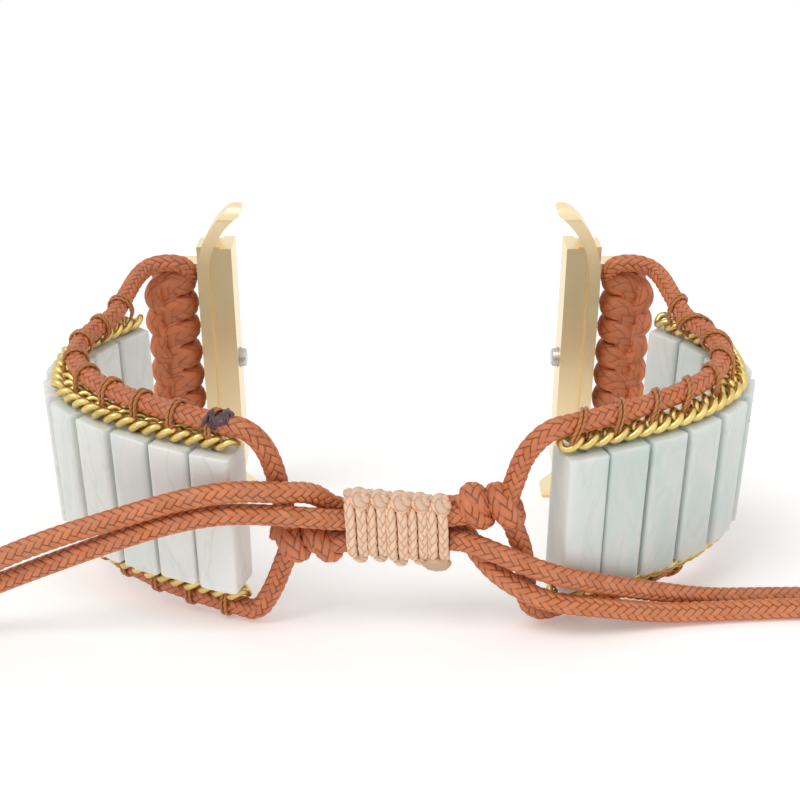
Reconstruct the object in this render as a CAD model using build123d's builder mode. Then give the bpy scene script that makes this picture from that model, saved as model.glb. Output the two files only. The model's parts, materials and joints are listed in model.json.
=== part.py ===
from build123d import *
from math import asin, atan2, cos, degrees, radians, sin, sqrt, tan
import os

os.makedirs("parts", exist_ok=True)

# Bead watch band: two mirrored ladders of long square stone beads between a top and a bottom
# edge cord. The cords run together at the front into a sliding knot, and each ladder ends at
# the back in a cord hitch wound round the bar of a metal adapter. Lengths in millimetres.
# The band is laid out flat about its own middle plane (X across, Y from the bars towards the
# knot as negative values, Z along the beads), and that plane then leans back until the band
# rests on its lower front edge and on the lower tips of the two adapters.

# Beads
bead_width = 3.6
bead_depth = 3.6
bead_length = 13.5
bead_edge = 0.45
bead_bore = 1.0
bead_gap = 0.1
first_bead_x = 15.0
first_bead_y = -31.85
bead_headings = (20, 23, 28, 36, 50, 72, 97, 118, 132)
front_count = 5
turn_count = 2

# Thread
thread_d = 0.7
strand_d = 0.34
strand_pitch = 0.95
strand_clearance = 0.03
strand_turn = 200

# Chain
link_r = 1.03
link_wire = 0.4
link_pitch = 1.45
link_roll = 26
chain_clearance = 0.03

# Edge cord
cord_d = 1.8
cord_rise = 9.0
inset_shares = (0, 0.15, 0.30, 0.50, 0.65, 0.75, 0.80, 0.75, 0.60)
cut_run = 1.6
cord_start_share = 0.30
run_share = 0.45

# Hitch round the bar
hitch_r = 1.5
hitch_pitch = 2.8
hitch_halves = 13
hitch_lead = 2.4
slack_share = 0.22

# Lug bar
bar_x = 23.4
bar_d = 1.1
bar_reach = 11.0
bar_clearance = 0.02

# Adapter
wall_outer_x = 20.65
wall_thickness = 1.2
wall_straight = 10.0
horn_x = 11.96
horn_turn = 55
adapter_depth = 4.6
taper_start = 8.0
tip_depth = 3.0
ear_low = 10.2
ear_thickness = 0.9
ear_width = 2.4
rail_reach = 13.0
neck_height = 1.2
neck_width = 2.9
head_height = 1.2
head_width = 4.0

# Latch
pocket_d = 2.2
pocket_depth = 3.0
nub_d = 2.0
nub_length = 1.7
nub_proud = 0.7
nub_round = 0.3
spring_r = 0.7
spring_wire = 0.25
spring_halves = 4

# Sliding knot
knot_y = -33.1
knot_r = 3.06
knot_cord = 1.2
knot_pitch = 1.64
knot_halves = 10
knot_half_length = 4.2
strand_side = 0.95
strand_level = 1.0

# Stopper knots
left_lobe_d = 3.8
left_lobe_level = -1.6
left_lobe_x = (-6.4, -9.0)
right_lobe_d = 4.0
right_lobe_level = 1.8
right_lobe_x = (6.5, 8.9)
stub_reach = 2.9
strand_from_share = 0.80
left_stub_turns = (100, 250)
right_stub_turns = (75, 290)

# Routes of the lead cords, from the edge cord to the stopper knot, between their two ends
lead_run = 1.9
stub_run = 1.6
left_top_lead = ((-10.9, -33.3, 7.6), (-10.2, -33.2, 5.4))
left_bottom_lead = ((-11.0, -33.3, -7.7),)
right_top_lead = ((10.85, -33.3, 7.75),)
right_bottom_lead = ((11.0, -33.3, -7.9), (10.9, -33.2, -5.2))

# Routes of the four free tails, after the straight first run out of the sliding knot
tail_run = 1.3
right_upper_tail = (
    (7.9, -34.9, -1.6), (12.6, -35.8, -3.3), (17.2, -34.3, -5.3), (22.3, -32.4, -7.4),
    (27.5, -30.6, -9.4), (33.5, -29.7, -9.9), (40.0, -29.6, -9.95), (46.5, -30.1, -9.8),
    (52.5, -31.2, -9.55),
)
right_lower_tail = (
    (6.7, -32.7, -3.2), (8.7, -34.7, -4.5), (12.4, -35.9, -6.0), (17.2, -35.4, -6.9),
    (22.7, -33.8, -8.7), (29.0, -32.7, -9.2), (35.3, -32.1, -9.35), (41.8, -32.2, -9.35), (48.0, -32.9, -9.2),
    (54.0, -34.1, -8.95),
)
left_upper_tail = (
    (-7.0, -33.2, 3.2), (-9.6, -35.3, 4.4), (-13.6, -35.7, 4.8), (-18.0, -35.6, 3.8),
    (-22.3, -35.5, 2.3), (-27.8, -35.6, 0.5), (-33.0, -36.0, -1.5), (-38.5, -36.6, -4.3),
    (-43.6, -37.2, -6.7), (-49.0, -37.6, -8.2),
)
left_lower_tail = (
    (-8.2, -35.6, 2.3), (-13.7, -35.7, 2.7), (-18.0, -35.5, 1.8), (-22.5, -35.4, 0.2),
    (-28.0, -35.4, -2.0), (-33.2, -35.4, -4.2), (-38.2, -35.3, -6.6), (-44.0, -35.2, -8.5),
    (-50.5, -35.0, -8.75),
)

# Where the frame's origin lies under the band
origin_setback = 15.57

# Lean of the band: the lowest tip of an adapter and the lowest strand under the front edge
# cord come down to the same level.
tip_r = tip_depth / 2
outer_r = wall_outer_x - horn_x
inner_r = outer_r - wall_thickness
middle_r = (outer_r + inner_r) / 2
tip_x = horn_x + middle_r * cos(radians(horn_turn))
tip_z = wall_straight + middle_r * sin(radians(horn_turn))
horn_top = tip_z + wall_thickness / 2
front_low_r = cord_d / 2 + strand_clearance + strand_d
front_low_y = first_bead_y - strand_pitch / 2
rise = horn_top - tip_r - cord_rise
lean_angle = asin((tip_r - front_low_r) / sqrt(front_low_y**2 + rise**2)) + atan2(
    rise, -front_low_y
)
floor_drop = front_low_y * sin(lean_angle) - cord_rise * cos(lean_angle) - front_low_r
print("lean", round(degrees(lean_angle), 3), "middle plane above the floor", round(-floor_drop, 3))
lean_z = Vector(0, -sin(lean_angle), cos(lean_angle))
band = Plane(
    origin=(0, origin_setback, -floor_drop), x_dir=(1, 0, 0), z_dir=lean_z
)


def seat(x, y, z=0, turn=0):
    """Plane parallel to the band's middle plane at a point of the band, turned about Z."""
    return Plane(band.location * Location((x, y, z), (0, 0, turn)))


def ahead(point, heading, distance):
    """Point of the plan reached from another along a heading."""
    angle = radians(heading)
    return (point[0] + distance * cos(angle), point[1] + distance * sin(angle))


def leaving(turn):
    """Direction across the front of the band, at an angle up from its X axis."""
    return band.x_dir * cos(radians(turn)) + band.z_dir * sin(radians(turn))


def inward(point, heading, distance):
    """Point of the plan moved towards the wrist, square to a heading."""
    return ahead(point, heading + 90, distance)


def corner_radii(points):
    """Radius at each corner of a cord's route, as large as its two runs allow."""
    places = [Vector(*point) for point in points]
    radii = []
    for before, here, after in zip(places, places[1:], places[2:]):
        turn = (here - before).get_angle(after - here)
        run = min((here - before).length, (after - here).length)
        radii.append(run_share * run / tan(radians(turn / 2)))
    return radii


def lay_cord(points, diameter, name):
    """Sweep a round cord along straight runs joined by tangent arcs, given in the band."""
    radii = corner_radii(points)
    with BuildLine(band) as route:
        FilletPolyline(*points, radius=radii)
    path = route.wire()
    with BuildSketch(Plane(origin=path @ 0, z_dir=path % 0)) as section:
        Circle(diameter / 2)
    sweep(section.sketch, path=path)
    print(name, "length", round(path.length, 2), "radii", [round(r, 1) for r in radii])


def half_turns(plane, radius, pitch, halves, lead, start):
    """Winding of tilted half turns about a plane's Z axis, with a straight run at each end."""
    bulge = sqrt(radius**2 + (pitch / 4) ** 2)
    with BuildLine(plane) as winding:
        Line((radius, -lead, start), (radius, 0, start))
        for half in range(halves):
            side = 1 if half % 2 == 0 else -1
            level = start - half * pitch / 2
            ThreePointArc(
                (side * radius, 0, level),
                (0, side * bulge, level - pitch / 4),
                (-side * radius, 0, level - pitch / 2),
            )
        side = 1 if halves % 2 == 0 else -1
        level = start - halves * pitch / 2
        Line((side * radius, 0, level), (side * radius, side * lead, level))
    return winding.wire()


def least_gap(path, diameter, reach):
    """Least clear gap of a wound cord to itself, measured between points further apart than
    a given length of cord."""
    step = diameter / 4
    count = int(path.length / step)
    spots = [path.position_at(n / count) for n in range(count + 1)]
    skip = int(reach / step)
    gaps = [(a - b).length for n, a in enumerate(spots) for b in spots[n + skip:]]
    return min(gaps) - diameter


# Plan of one half: bead centres, and the points between beads where the ladder bends
centres = []
bends = []
spot = (first_bead_x, first_bead_y)
for number, heading in enumerate(bead_headings):
    centres.append(spot)
    if number + 1 < len(bead_headings):
        following = bead_headings[number + 1]
        half_gap = bead_depth / 2 * tan(radians((following - heading) / 2)) + bead_gap / 2
        bend = ahead(spot, heading, bead_width / 2 + half_gap)
        bends.append(bend)
        spot = ahead(bend, following, bead_width / 2 + half_gap)
bend_headings = [(a + b) / 2 for a, b in zip(bead_headings, bead_headings[1:])]
ladder_start = ahead(centres[0], bead_headings[0], -bead_width / 2 - bead_gap)
ladder_end = ahead(centres[-1], bead_headings[-1], bead_width / 2)
stations = [ladder_start] + bends
station_headings = [bead_headings[0]] + bend_headings
first_hinge = front_count
second_hinge = front_count + turn_count
print("hinges at", stations[first_hinge], stations[second_hinge])

sections = {
    "front": (0, first_hinge),
    "turn": (first_hinge, second_hinge),
    "back": (second_hinge, len(bead_headings)),
}
sides = {"right": 1, "left": -1}

# Beads
for side, sign in sides.items():
    for number, (spot, heading) in enumerate(zip(centres, bead_headings), start=1):
        with BuildPart() as bead:
            with BuildSketch(seat(sign * spot[0], spot[1], -bead_length / 2, sign * heading)):
                Rectangle(bead_width, bead_depth)
                Circle(bead_bore / 2, mode=Mode.SUBTRACT)
            extrude(amount=bead_length)
            fillet(bead.edges().filter_by(GeomType.LINE), radius=bead_edge)
        bead.part.label = f"{side}_bead_{number:02d}"
        export_step(bead.part, f"parts/{bead.part.label}.step")

# Plan route of the edge cords: inward of the bends, so that a bend opens them
cord_start = ahead(centres[0], bead_headings[0], -cord_start_share * bead_width)
cord_plan = [
    inward(spot, heading, share * cord_d)
    for spot, heading, share in zip([cord_start] + bends, station_headings, inset_shares)
]
hitch_start = hitch_halves * hitch_pitch / 4
before_bar = -hitch_lead - cord_d


def cord_points(section, level, bar_side):
    """Points of one edge cord in a section, at a level of plus or minus one."""
    start, stop = sections[section]
    points = list(cord_plan[start:stop + 1])
    if start:
        points.insert(1, ahead(points[0], station_headings[start], cut_run))
    if section != "back":
        points.insert(-1, ahead(points[-1], station_headings[stop], -cut_run))
        return [(x, y, level * cord_rise) for x, y in points]
    last = points[-1]
    end_x = bar_x + bar_side * hitch_r
    middle = ((last[0] + end_x) / 2 + slack_share * cord_d, (last[1] + before_bar) / 2)
    rise = (level * cord_rise,) * len(points) + (
        level * (cord_rise + hitch_start) / 2, level * hitch_start, level * hitch_start
    )
    points += [middle, (end_x, before_bar), (end_x, -cord_d)]
    return [(x, y, z) for (x, y), z in zip(points, rise)]


edge_routes = {
    section: (cord_points(section, 1, 1), cord_points(section, -1, -1)) for section in sections
}

# Chain: rings rolled one way and the other along the middle of the beads
chain_level = bead_length / 2 + chain_clearance + link_r * sin(radians(link_roll)) + link_wire / 2
ladder = stations + [ladder_end]
links_before = 0

for section, (start, stop) in sections.items():
    # Edge cords, top and bottom
    with BuildPart() as edge_cords:
        for route in edge_routes[section]:
            lay_cord(route, cord_d, f"{section} edge cord")
    edge_cords.part.label = f"right_{section}_edge_cords"
    export_step(edge_cords.part, f"parts/{edge_cords.part.label}.step")
    with BuildPart() as left_edge_cords:
        mirror(edge_cords.part, about=Plane.YZ)
    left_edge_cords.part.label = f"left_{section}_edge_cords"
    export_step(left_edge_cords.part, f"parts/{left_edge_cords.part.label}.step")

    # Chains, top and bottom
    chain_spots = [(x, y, 0) for x, y in ladder[start:stop + 1]]
    with BuildLine() as chain_line:
        FilletPolyline(*chain_spots, radius=corner_radii(chain_spots))
    chain_wire = chain_line.wire()
    count = round(chain_wire.length / link_pitch)
    places = []
    for n in range(count):
        point = chain_wire.position_at((n + 0.5) / count)
        along = chain_wire.tangent_at((n + 0.5) / count)
        roll = link_roll if (n + links_before) % 2 == 0 else -link_roll
        for level in (1, -1):
            flat = seat(point.X, point.Y, level * chain_level, degrees(atan2(along.Y, along.X)))
            places.append(flat.location * Location((0, 0, 0), (roll, 0, 0)))
    links_before += count
    print(section, "links", count, "pitch", round(chain_wire.length / count, 3))
    with BuildPart() as chains:
        with Locations(*places):
            Torus(link_r, link_wire / 2)
    chains.part.label = f"right_{section}_chains"
    export_step(chains.part, f"parts/{chains.part.label}.step")
    with BuildPart() as left_chains:
        mirror(chains.part, about=Plane.YZ)
    left_chains.part.label = f"left_{section}_chains"
    export_step(left_chains.part, f"parts/{left_chains.part.label}.step")

    # Thread: a strand through each bead, and two strands over each edge cord at each bead
    rungs = []
    arches = []
    for spot, heading in list(zip(centres, bead_headings))[start:stop]:
        rungs.append(seat(spot[0], spot[1], 0, heading))
        for level, points in zip((1, -1), edge_routes[section]):
            with BuildLine(band) as cord_line:
                FilletPolyline(*points, radius=corner_radii(points))
            cord_wire = cord_line.wire()
            beside = Vertex(*band.from_local_coords((spot[0], spot[1], level * cord_rise)))
            nearest = cord_wire.param_at_point(cord_wire.closest_points(beside)[0])
            for half in (-1, 1):
                share = nearest + half * strand_pitch / 2 / cord_wire.length
                along = cord_wire.tangent_at(share)
                outward = (lean_z * level - along * along.dot(lean_z * level)).normalized()
                upright = Plane(
                    cord_wire.position_at(share), x_dir=outward.cross(along), z_dir=along
                )
                arches.append(upright.rotated((0, 0, 90 - strand_turn / 2)))
    with BuildPart() as threads:
        with Locations(*rungs):
            Cylinder(thread_d / 2, bead_length)
        with Locations(*arches):
            Torus(
                cord_d / 2 + strand_clearance + strand_d / 2,
                strand_d / 2,
                major_angle=strand_turn,
                align=None,
            )
    threads.part.label = f"right_{section}_threads"
    export_step(threads.part, f"parts/{threads.part.label}.step")
    with BuildPart() as left_threads:
        mirror(threads.part, about=Plane.YZ)
    left_threads.part.label = f"left_{section}_threads"
    export_step(left_threads.part, f"parts/{left_threads.part.label}.step")

# Hitch: the cord wound round the lug bar from the top edge cord down to the bottom one
hitch_path = half_turns(seat(bar_x, 0), hitch_r, hitch_pitch, hitch_halves, cord_d, hitch_start)
print("hitch length", round(hitch_path.length, 1))
print("hitch least gap", round(least_gap(hitch_path, cord_d, 4 * hitch_r), 3))
with BuildPart() as right_hitch:
    with BuildSketch(Plane(origin=hitch_path @ 0, z_dir=hitch_path % 0)) as hitch_section:
        Circle(cord_d / 2)
    sweep(hitch_section.sketch, path=hitch_path)
right_hitch.part.label = "right_hitch"
export_step(right_hitch.part, "parts/right_hitch.step")
with BuildPart() as left_hitch:
    mirror(right_hitch.part, about=Plane.YZ)
left_hitch.part.label = "left_hitch"
export_step(left_hitch.part, "parts/left_hitch.step")

# Adapter: a strip that carries the rail on its inner face and two ears on its outer face
ear_high = ear_low + ear_thickness
wall_inner_x = wall_outer_x - wall_thickness
neck_x = wall_inner_x - neck_height
head_x = neck_x - head_height
facing_front = Plane(origin=band.origin, x_dir=band.x_dir, z_dir=-band.y_dir)
facing_out = Plane(origin=band.origin, x_dir=band.y_dir, z_dir=band.x_dir)
with BuildPart() as right_adapter:
    with BuildSketch(facing_front):
        with BuildLine():
            Polyline((wall_inner_x, wall_straight), (wall_inner_x, 0), (wall_outer_x, 0),
                     (wall_outer_x, wall_straight))
            CenterArc((horn_x, wall_straight), outer_r, 0, horn_turn)
            CenterArc((tip_x, tip_z), wall_thickness / 2, horn_turn, 180)
            CenterArc((horn_x, wall_straight), inner_r, 0, horn_turn)
        make_face()
        mirror(about=Plane.XZ)
    extrude(amount=adapter_depth / 2, both=True)
    with BuildSketch(facing_out):
        with BuildLine():
            Polyline((0, 0), (adapter_depth / 2, 0), (adapter_depth / 2, taper_start),
                     (tip_r, horn_top - tip_r))
            CenterArc((0, horn_top - tip_r), tip_r, 0, 90)
            Line((0, horn_top), (0, 0))
        make_face()
        mirror(about=Plane.XZ)
        mirror(about=Plane.YZ)
    extrude(amount=wall_outer_x, mode=Mode.INTERSECT)
    for level in (ear_low, -ear_high):
        with BuildSketch(seat(0, 0, level)):
            with Locations(((wall_inner_x + wall_outer_x) / 4 + bar_x / 2, 0)):
                Rectangle(bar_x - (wall_inner_x + wall_outer_x) / 2, ear_width)
            with Locations((bar_x, 0)):
                Circle(ear_width / 2)
        extrude(amount=ear_thickness)
    with BuildSketch(seat(bar_x, 0, -ear_high)):
        Circle(bar_d / 2 + bar_clearance)
    extrude(amount=2 * ear_high, mode=Mode.SUBTRACT)
    with BuildSketch(seat(0, 0, -rail_reach)):
        with Locations(((neck_x + wall_outer_x) / 2, 0)):
            Rectangle(wall_outer_x - neck_x, neck_width)
        with Locations(((head_x + neck_x) / 2, 0)):
            Rectangle(head_height, head_width)
    extrude(amount=2 * rail_reach)
    with BuildSketch(Plane(origin=seat(head_x, 0).origin, z_dir=band.x_dir)):
        Circle(pocket_d / 2)
    extrude(amount=pocket_depth, mode=Mode.SUBTRACT)
right_adapter.part.label = "right_adapter"
export_step(right_adapter.part, "parts/right_adapter.step")
with BuildPart() as left_adapter:
    mirror(right_adapter.part, about=Plane.YZ)
left_adapter.part.label = "left_adapter"
export_step(left_adapter.part, "parts/left_adapter.step")

# Lug bar
with BuildPart() as right_lug_bar:
    with BuildSketch(seat(bar_x, 0, -bar_reach)):
        Circle(bar_d / 2)
    extrude(amount=2 * bar_reach)
right_lug_bar.part.label = "right_lug_bar"
export_step(right_lug_bar.part, "parts/right_lug_bar.step")
with BuildPart() as left_lug_bar:
    mirror(right_lug_bar.part, about=Plane.YZ)
left_lug_bar.part.label = "left_lug_bar"
export_step(left_lug_bar.part, "parts/left_lug_bar.step")

# Latch nub and the spring behind it
with BuildPart() as right_latch_nub:
    with BuildSketch(Plane(origin=seat(head_x - nub_proud, 0).origin, z_dir=band.x_dir)):
        Circle(nub_d / 2)
    extrude(amount=nub_length)
    fillet(right_latch_nub.edges().sort_by(Axis.X)[0], radius=nub_round)
right_latch_nub.part.label = "right_latch_nub"
export_step(right_latch_nub.part, "parts/right_latch_nub.step")
with BuildPart() as left_latch_nub:
    mirror(right_latch_nub.part, about=Plane.YZ)
left_latch_nub.part.label = "left_latch_nub"
export_step(left_latch_nub.part, "parts/left_latch_nub.step")

spring_low = head_x - nub_proud + nub_length + spring_wire / 2
spring_high = head_x + pocket_depth - spring_wire / 2
spring_pitch = (spring_high - spring_low) / (spring_halves / 2)
spring_plane = Plane(origin=seat(spring_high, 0).origin, x_dir=band.y_dir, z_dir=band.x_dir)
spring_path = half_turns(spring_plane, spring_r, spring_pitch, spring_halves, spring_wire, 0)
print("spring least gap", round(least_gap(spring_path, spring_wire, 4 * spring_r), 3))
with BuildPart() as right_latch_spring:
    with BuildSketch(Plane(origin=spring_path @ 0, z_dir=spring_path % 0)) as spring_section:
        Circle(spring_wire / 2)
    sweep(spring_section.sketch, path=spring_path)
right_latch_spring.part.label = "right_latch_spring"
export_step(right_latch_spring.part, "parts/right_latch_spring.step")
with BuildPart() as left_latch_spring:
    mirror(right_latch_spring.part, about=Plane.YZ)
left_latch_spring.part.label = "left_latch_spring"
export_step(left_latch_spring.part, "parts/left_latch_spring.step")

# Sliding knot: the cord wound round the four strands that run through it
knot_seat = Plane(
    origin=seat(0, knot_y).origin, x_dir=band.y_dir, z_dir=band.x_dir
)
knot_start = knot_halves * knot_pitch / 4
knot_path = half_turns(knot_seat, knot_r, knot_pitch, knot_halves, knot_cord, knot_start)
print("sliding knot length", round(knot_path.length, 1))
print("sliding knot least gap", round(least_gap(knot_path, knot_cord, 4 * knot_r), 3))
with BuildPart() as sliding_knot:
    with BuildSketch(Plane(origin=knot_path @ 0, z_dir=knot_path % 0)) as knot_section:
        Circle(knot_cord / 2)
    sweep(knot_section.sketch, path=knot_path)
sliding_knot.part.label = "sliding_knot"
export_step(sliding_knot.part, "parts/sliding_knot.step")

# Stopper knots: two lobes and the two stubs that the lead cords meet. The two strands that run on
# out of each knot through the sliding knot end against its first lobe.
stoppers = {
    "left": (left_lobe_x, left_lobe_level, left_lobe_d, -strand_level, 1, left_stub_turns),
    "right": (right_lobe_x, right_lobe_level, right_lobe_d, strand_level, -1, right_stub_turns),
}
for side, (lobes, level, lobe_d, strand, onward, stub_turns) in stoppers.items():
    with BuildPart() as stopper_knot:
        for x, away in zip(lobes, (-onward, onward)):
            with Locations(seat(x, knot_y, level)):
                Sphere(lobe_d / 2, rotation=(90, 0, 90 * (1 + away)))
        for turn in stub_turns:
            with BuildSketch(
                Plane(origin=seat(lobes[1], knot_y, level).origin, x_dir=band.y_dir,
                      z_dir=leaving(turn))
            ):
                Circle(cord_d / 2)
            extrude(amount=stub_reach)
    stopper_knot.part.label = f"{side}_stopper_knot"
    export_step(stopper_knot.part, f"parts/{side}_stopper_knot.step")
    with BuildPart() as running_strands:
        with BuildSketch(
            Plane(origin=seat(strand_from_share * lobes[0], knot_y, strand).origin, x_dir=band.y_dir,
                  z_dir=onward * band.x_dir)
        ):
            with Locations((strand_side, 0), (-strand_side, 0)):
                Circle(cord_d / 2)
        extrude(amount=knot_half_length + strand_from_share * abs(lobes[0]))
        with Locations(seat(lobes[0], knot_y, level)):
            Sphere(lobe_d / 2, mode=Mode.SUBTRACT)
    running_strands.part.label = f"{side}_running_strands"
    export_step(running_strands.part, f"parts/{side}_running_strands.step")

# Lead cords, from the edge cords into the stopper knots
leads = {
    "left_top_lead": (-1, 1, left_top_lead),
    "left_bottom_lead": (-1, -1, left_bottom_lead),
    "right_top_lead": (1, 1, right_top_lead),
    "right_bottom_lead": (1, -1, right_bottom_lead),
}
for name, (sign, level, route) in leads.items():
    lobes, knot_level, lobe_d, strand, onward, stub_turns = stoppers[name.split("_")[0]]
    turn = radians(stub_turns[0] if level > 0 else stub_turns[1])
    (x0, y0, z0), (x1, y1, z1) = edge_routes["front"][0 if level > 0 else 1][:2]
    reach = sqrt((x1 - x0)**2 + (y1 - y0)**2)
    start = (sign * x0, y0, z0)
    second = (sign * (x0 - (x1 - x0) * lead_run / reach), y0 - (y1 - y0) * lead_run / reach, z0)
    end = (lobes[1] + stub_reach * cos(turn), knot_y, knot_level + stub_reach * sin(turn))
    before = (end[0] + stub_run * cos(turn), knot_y, end[2] + stub_run * sin(turn))
    with BuildPart() as lead:
        lay_cord([start, second] + list(route) + [before, end], cord_d, name)
    lead.part.label = name
    export_step(lead.part, f"parts/{name}.step")

# Free tails, from the sliding knot outwards
tails = {
    "right_upper_tail": (1, -strand_level, -strand_side, right_upper_tail),
    "right_lower_tail": (1, -strand_level, strand_side, right_lower_tail),
    "left_upper_tail": (-1, strand_level, strand_side, left_upper_tail),
    "left_lower_tail": (-1, strand_level, -strand_side, left_lower_tail),
}
for name, (sign, level, spread, route) in tails.items():
    start = (sign * knot_half_length, knot_y + spread, level)
    second = (sign * (knot_half_length + tail_run), knot_y + spread, level)
    with BuildPart() as tail:
        lay_cord([start, second] + list(route), cord_d, name)
    tail.part.label = name
    export_step(tail.part, f"parts/{name}.step")
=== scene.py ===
import json
import math

import bpy
import numpy as np
from bpy.props import FloatProperty, FloatVectorProperty, PointerProperty
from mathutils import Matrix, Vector, noise


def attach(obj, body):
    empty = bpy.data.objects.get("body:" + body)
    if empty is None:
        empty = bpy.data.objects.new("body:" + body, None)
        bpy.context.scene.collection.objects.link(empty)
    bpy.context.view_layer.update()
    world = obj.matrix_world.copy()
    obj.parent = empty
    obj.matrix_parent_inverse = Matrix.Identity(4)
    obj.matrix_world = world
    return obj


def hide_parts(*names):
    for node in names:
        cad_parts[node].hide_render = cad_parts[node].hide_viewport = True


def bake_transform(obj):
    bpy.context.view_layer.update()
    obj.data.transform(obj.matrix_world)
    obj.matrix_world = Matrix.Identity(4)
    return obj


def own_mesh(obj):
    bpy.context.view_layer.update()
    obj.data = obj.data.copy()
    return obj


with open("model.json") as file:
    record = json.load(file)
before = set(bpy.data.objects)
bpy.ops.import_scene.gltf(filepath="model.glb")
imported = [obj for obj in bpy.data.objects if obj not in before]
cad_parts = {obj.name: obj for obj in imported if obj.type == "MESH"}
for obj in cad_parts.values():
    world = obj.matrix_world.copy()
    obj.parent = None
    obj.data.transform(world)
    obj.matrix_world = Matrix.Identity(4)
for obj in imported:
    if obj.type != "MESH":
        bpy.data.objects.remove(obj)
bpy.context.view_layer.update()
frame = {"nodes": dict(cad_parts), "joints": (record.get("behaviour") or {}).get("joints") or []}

bl_info = {
    "name": "Bead Watch Band",
    "version": (1, 0, 0),
    "blender": (4, 5, 0),
    "location": "View3D > Sidebar > Band",
    "description": "Builds the beads, chain, cords, knots and finishes of a bead watch band",
    "category": "Add Mesh",
}

# Everything is laid out about the band's own middle plane, in metres: X across, Y from the
# knot towards the two bars, Z along the beads. The frame gives where that plane lies.
pivot = next(joint for joint in frame["joints"] if joint["name"] == "right_adapter_pivot")
upright = -Vector(pivot["axis"]).normalized()
across = Vector((1, 0, 0))
rearward = upright.cross(across)
middle = Vector((0, pivot["pos_m"][1], pivot["pos_m"][2]))
BAND = np.array([across, rearward, upright])
BAND_MIDDLE = np.array(middle)
LEAN = math.atan2(rearward.z, rearward.y)
SIDES = {"right": 1, "left": -1}
LEVELS = {"top": 1, "bottom": -1}

# Beads: their sizes, the heading of each along the right-hand ladder, the last of each stretch,
# the gaps where the ladder bends, and the gap where the cords are parted
BEAD = 0.0036
BEAD_LENGTH = 0.0135
BEAD_BORE = 0.0010
BEAD_GAP = 0.0001
FIRST_BEAD = (0.0150, -0.03185)
HEADINGS = (20, 23, 28, 36, 50, 72, 97, 118, 132)
LAST_OF = {"front": 5, "turn": 7, "back": 9}
HINGES = {"front": 4, "back": 6}
CORD_SPLIT = 5

# Edge cords: their level, how far they lie inward of the ladder at each gap in shares of the
# cord, and how they leave the stopper knots and span to the bars
CORD = 0.0018
CORD_LEVEL = 0.0090
INSETS = (0, 0.15, 0.30, 0.50, 0.65, 0.75, 0.80, 0.75, 0.60)
CORD_START = 0.30
LEAD_RUN = 0.0019
STUB_START = 0.0004
STUB_REACH = 0.0029
STUB_RUN = 0.0016
STUB_TURNS = {
    ("left", "top"): 100, ("left", "bottom"): 250, ("right", "top"): 75, ("right", "bottom"): 290,
}
LEADS = {
    ("left", "top"): ((-0.0109, -0.0333, 0.0076), (-0.0102, -0.0332, 0.0054)),
    ("left", "bottom"): ((-0.0112, -0.0333, -0.0072),),
    ("right", "top"): ((0.01085, -0.0333, 0.00775),),
    ("right", "bottom"): ((0.0110, -0.0333, -0.0079), (0.0109, -0.0332, -0.0052)),
}
SPAN_OUT = 0.9 * CORD
SPAN_FORWARD = 2.4 * CORD
SPAN_RISE = 0.0007

# Hitches: the bar, the cord's turns round it, and its way over the ear to the first of them
BAR_X = 0.0234
HITCH_R = 0.0015
HITCH_TOP = 0.0091
HITCH_TURNS = 6.5
HITCH_PITCH = 0.0028
HITCH_START = (
    (0.0030, -0.0026, 0.0108), (0.0010, -0.0024, 0.0117), (-0.0014, -0.0021, 0.0115),
    (-0.0018, -0.0009, 0.0100), (-0.0015, 0.0, 0.0091),
)

# Knots: the middles of each stopper knot's two lobes, their level and their size across, and the
# four strands that run on through the sliding knot
KNOT_Y = -0.0331
KNOT_REACH = 0.0042
STRAND_SIDE = 0.00095
STRAND_LEVEL = 0.0010
LOBES = {
    "left": ((-0.0064, -0.0090), -0.0016, 0.0038),
    "right": ((0.0065, 0.0089), 0.0018, 0.0040),
}

# Free tails: side, sign of the level, side step, length in metres and route
TAILS = {
    "right_upper_tail": ("right", -1, -1, 0.0510, (
        (0.0079, -0.0349, -0.0016), (0.0126, -0.0358, -0.0033), (0.0172, -0.0343, -0.0053),
        (0.0223, -0.0324, -0.0074), (0.0275, -0.0306, -0.0094), (0.0335, -0.0297, -0.0099),
        (0.0400, -0.0296, -0.00995), (0.0465, -0.0301, -0.0098), (0.0525, -0.0312, -0.00955))),
    "right_lower_tail": ("right", -1, 1, 0.0533, (
        (0.0067, -0.0327, -0.0032), (0.0087, -0.0347, -0.0045), (0.0124, -0.0359, -0.0060),
        (0.0172, -0.0354, -0.0069), (0.0227, -0.0338, -0.0087), (0.0290, -0.0327, -0.0092),
        (0.0353, -0.0321, -0.00935), (0.0418, -0.0322, -0.00935), (0.0480, -0.0329, -0.0092),
        (0.0540, -0.0341, -0.00895))),
    "left_upper_tail": ("left", 1, 1, 0.0494, (
        (-0.0070, -0.0332, 0.0032), (-0.0096, -0.0353, 0.0044), (-0.0136, -0.0357, 0.0048),
        (-0.0180, -0.0356, 0.0038), (-0.0223, -0.0355, 0.0023), (-0.0278, -0.0356, 0.0005),
        (-0.0330, -0.0360, -0.0015), (-0.0385, -0.0366, -0.0043), (-0.0436, -0.0372, -0.0067),
        (-0.0490, -0.0376, -0.0082))),
    "left_lower_tail": ("left", 1, -1, 0.0489, (
        (-0.0082, -0.0356, 0.0023), (-0.0137, -0.0357, 0.0027), (-0.0180, -0.0355, 0.0018),
        (-0.0225, -0.0354, 0.0002), (-0.0280, -0.0354, -0.0020), (-0.0332, -0.0354, -0.0042),
        (-0.0382, -0.0353, -0.0066), (-0.0440, -0.0352, -0.0085), (-0.0505, -0.0350, -0.00875))),
}
TAIL_RUN = 0.0013
TAIL_TIP = 0.0007


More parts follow.
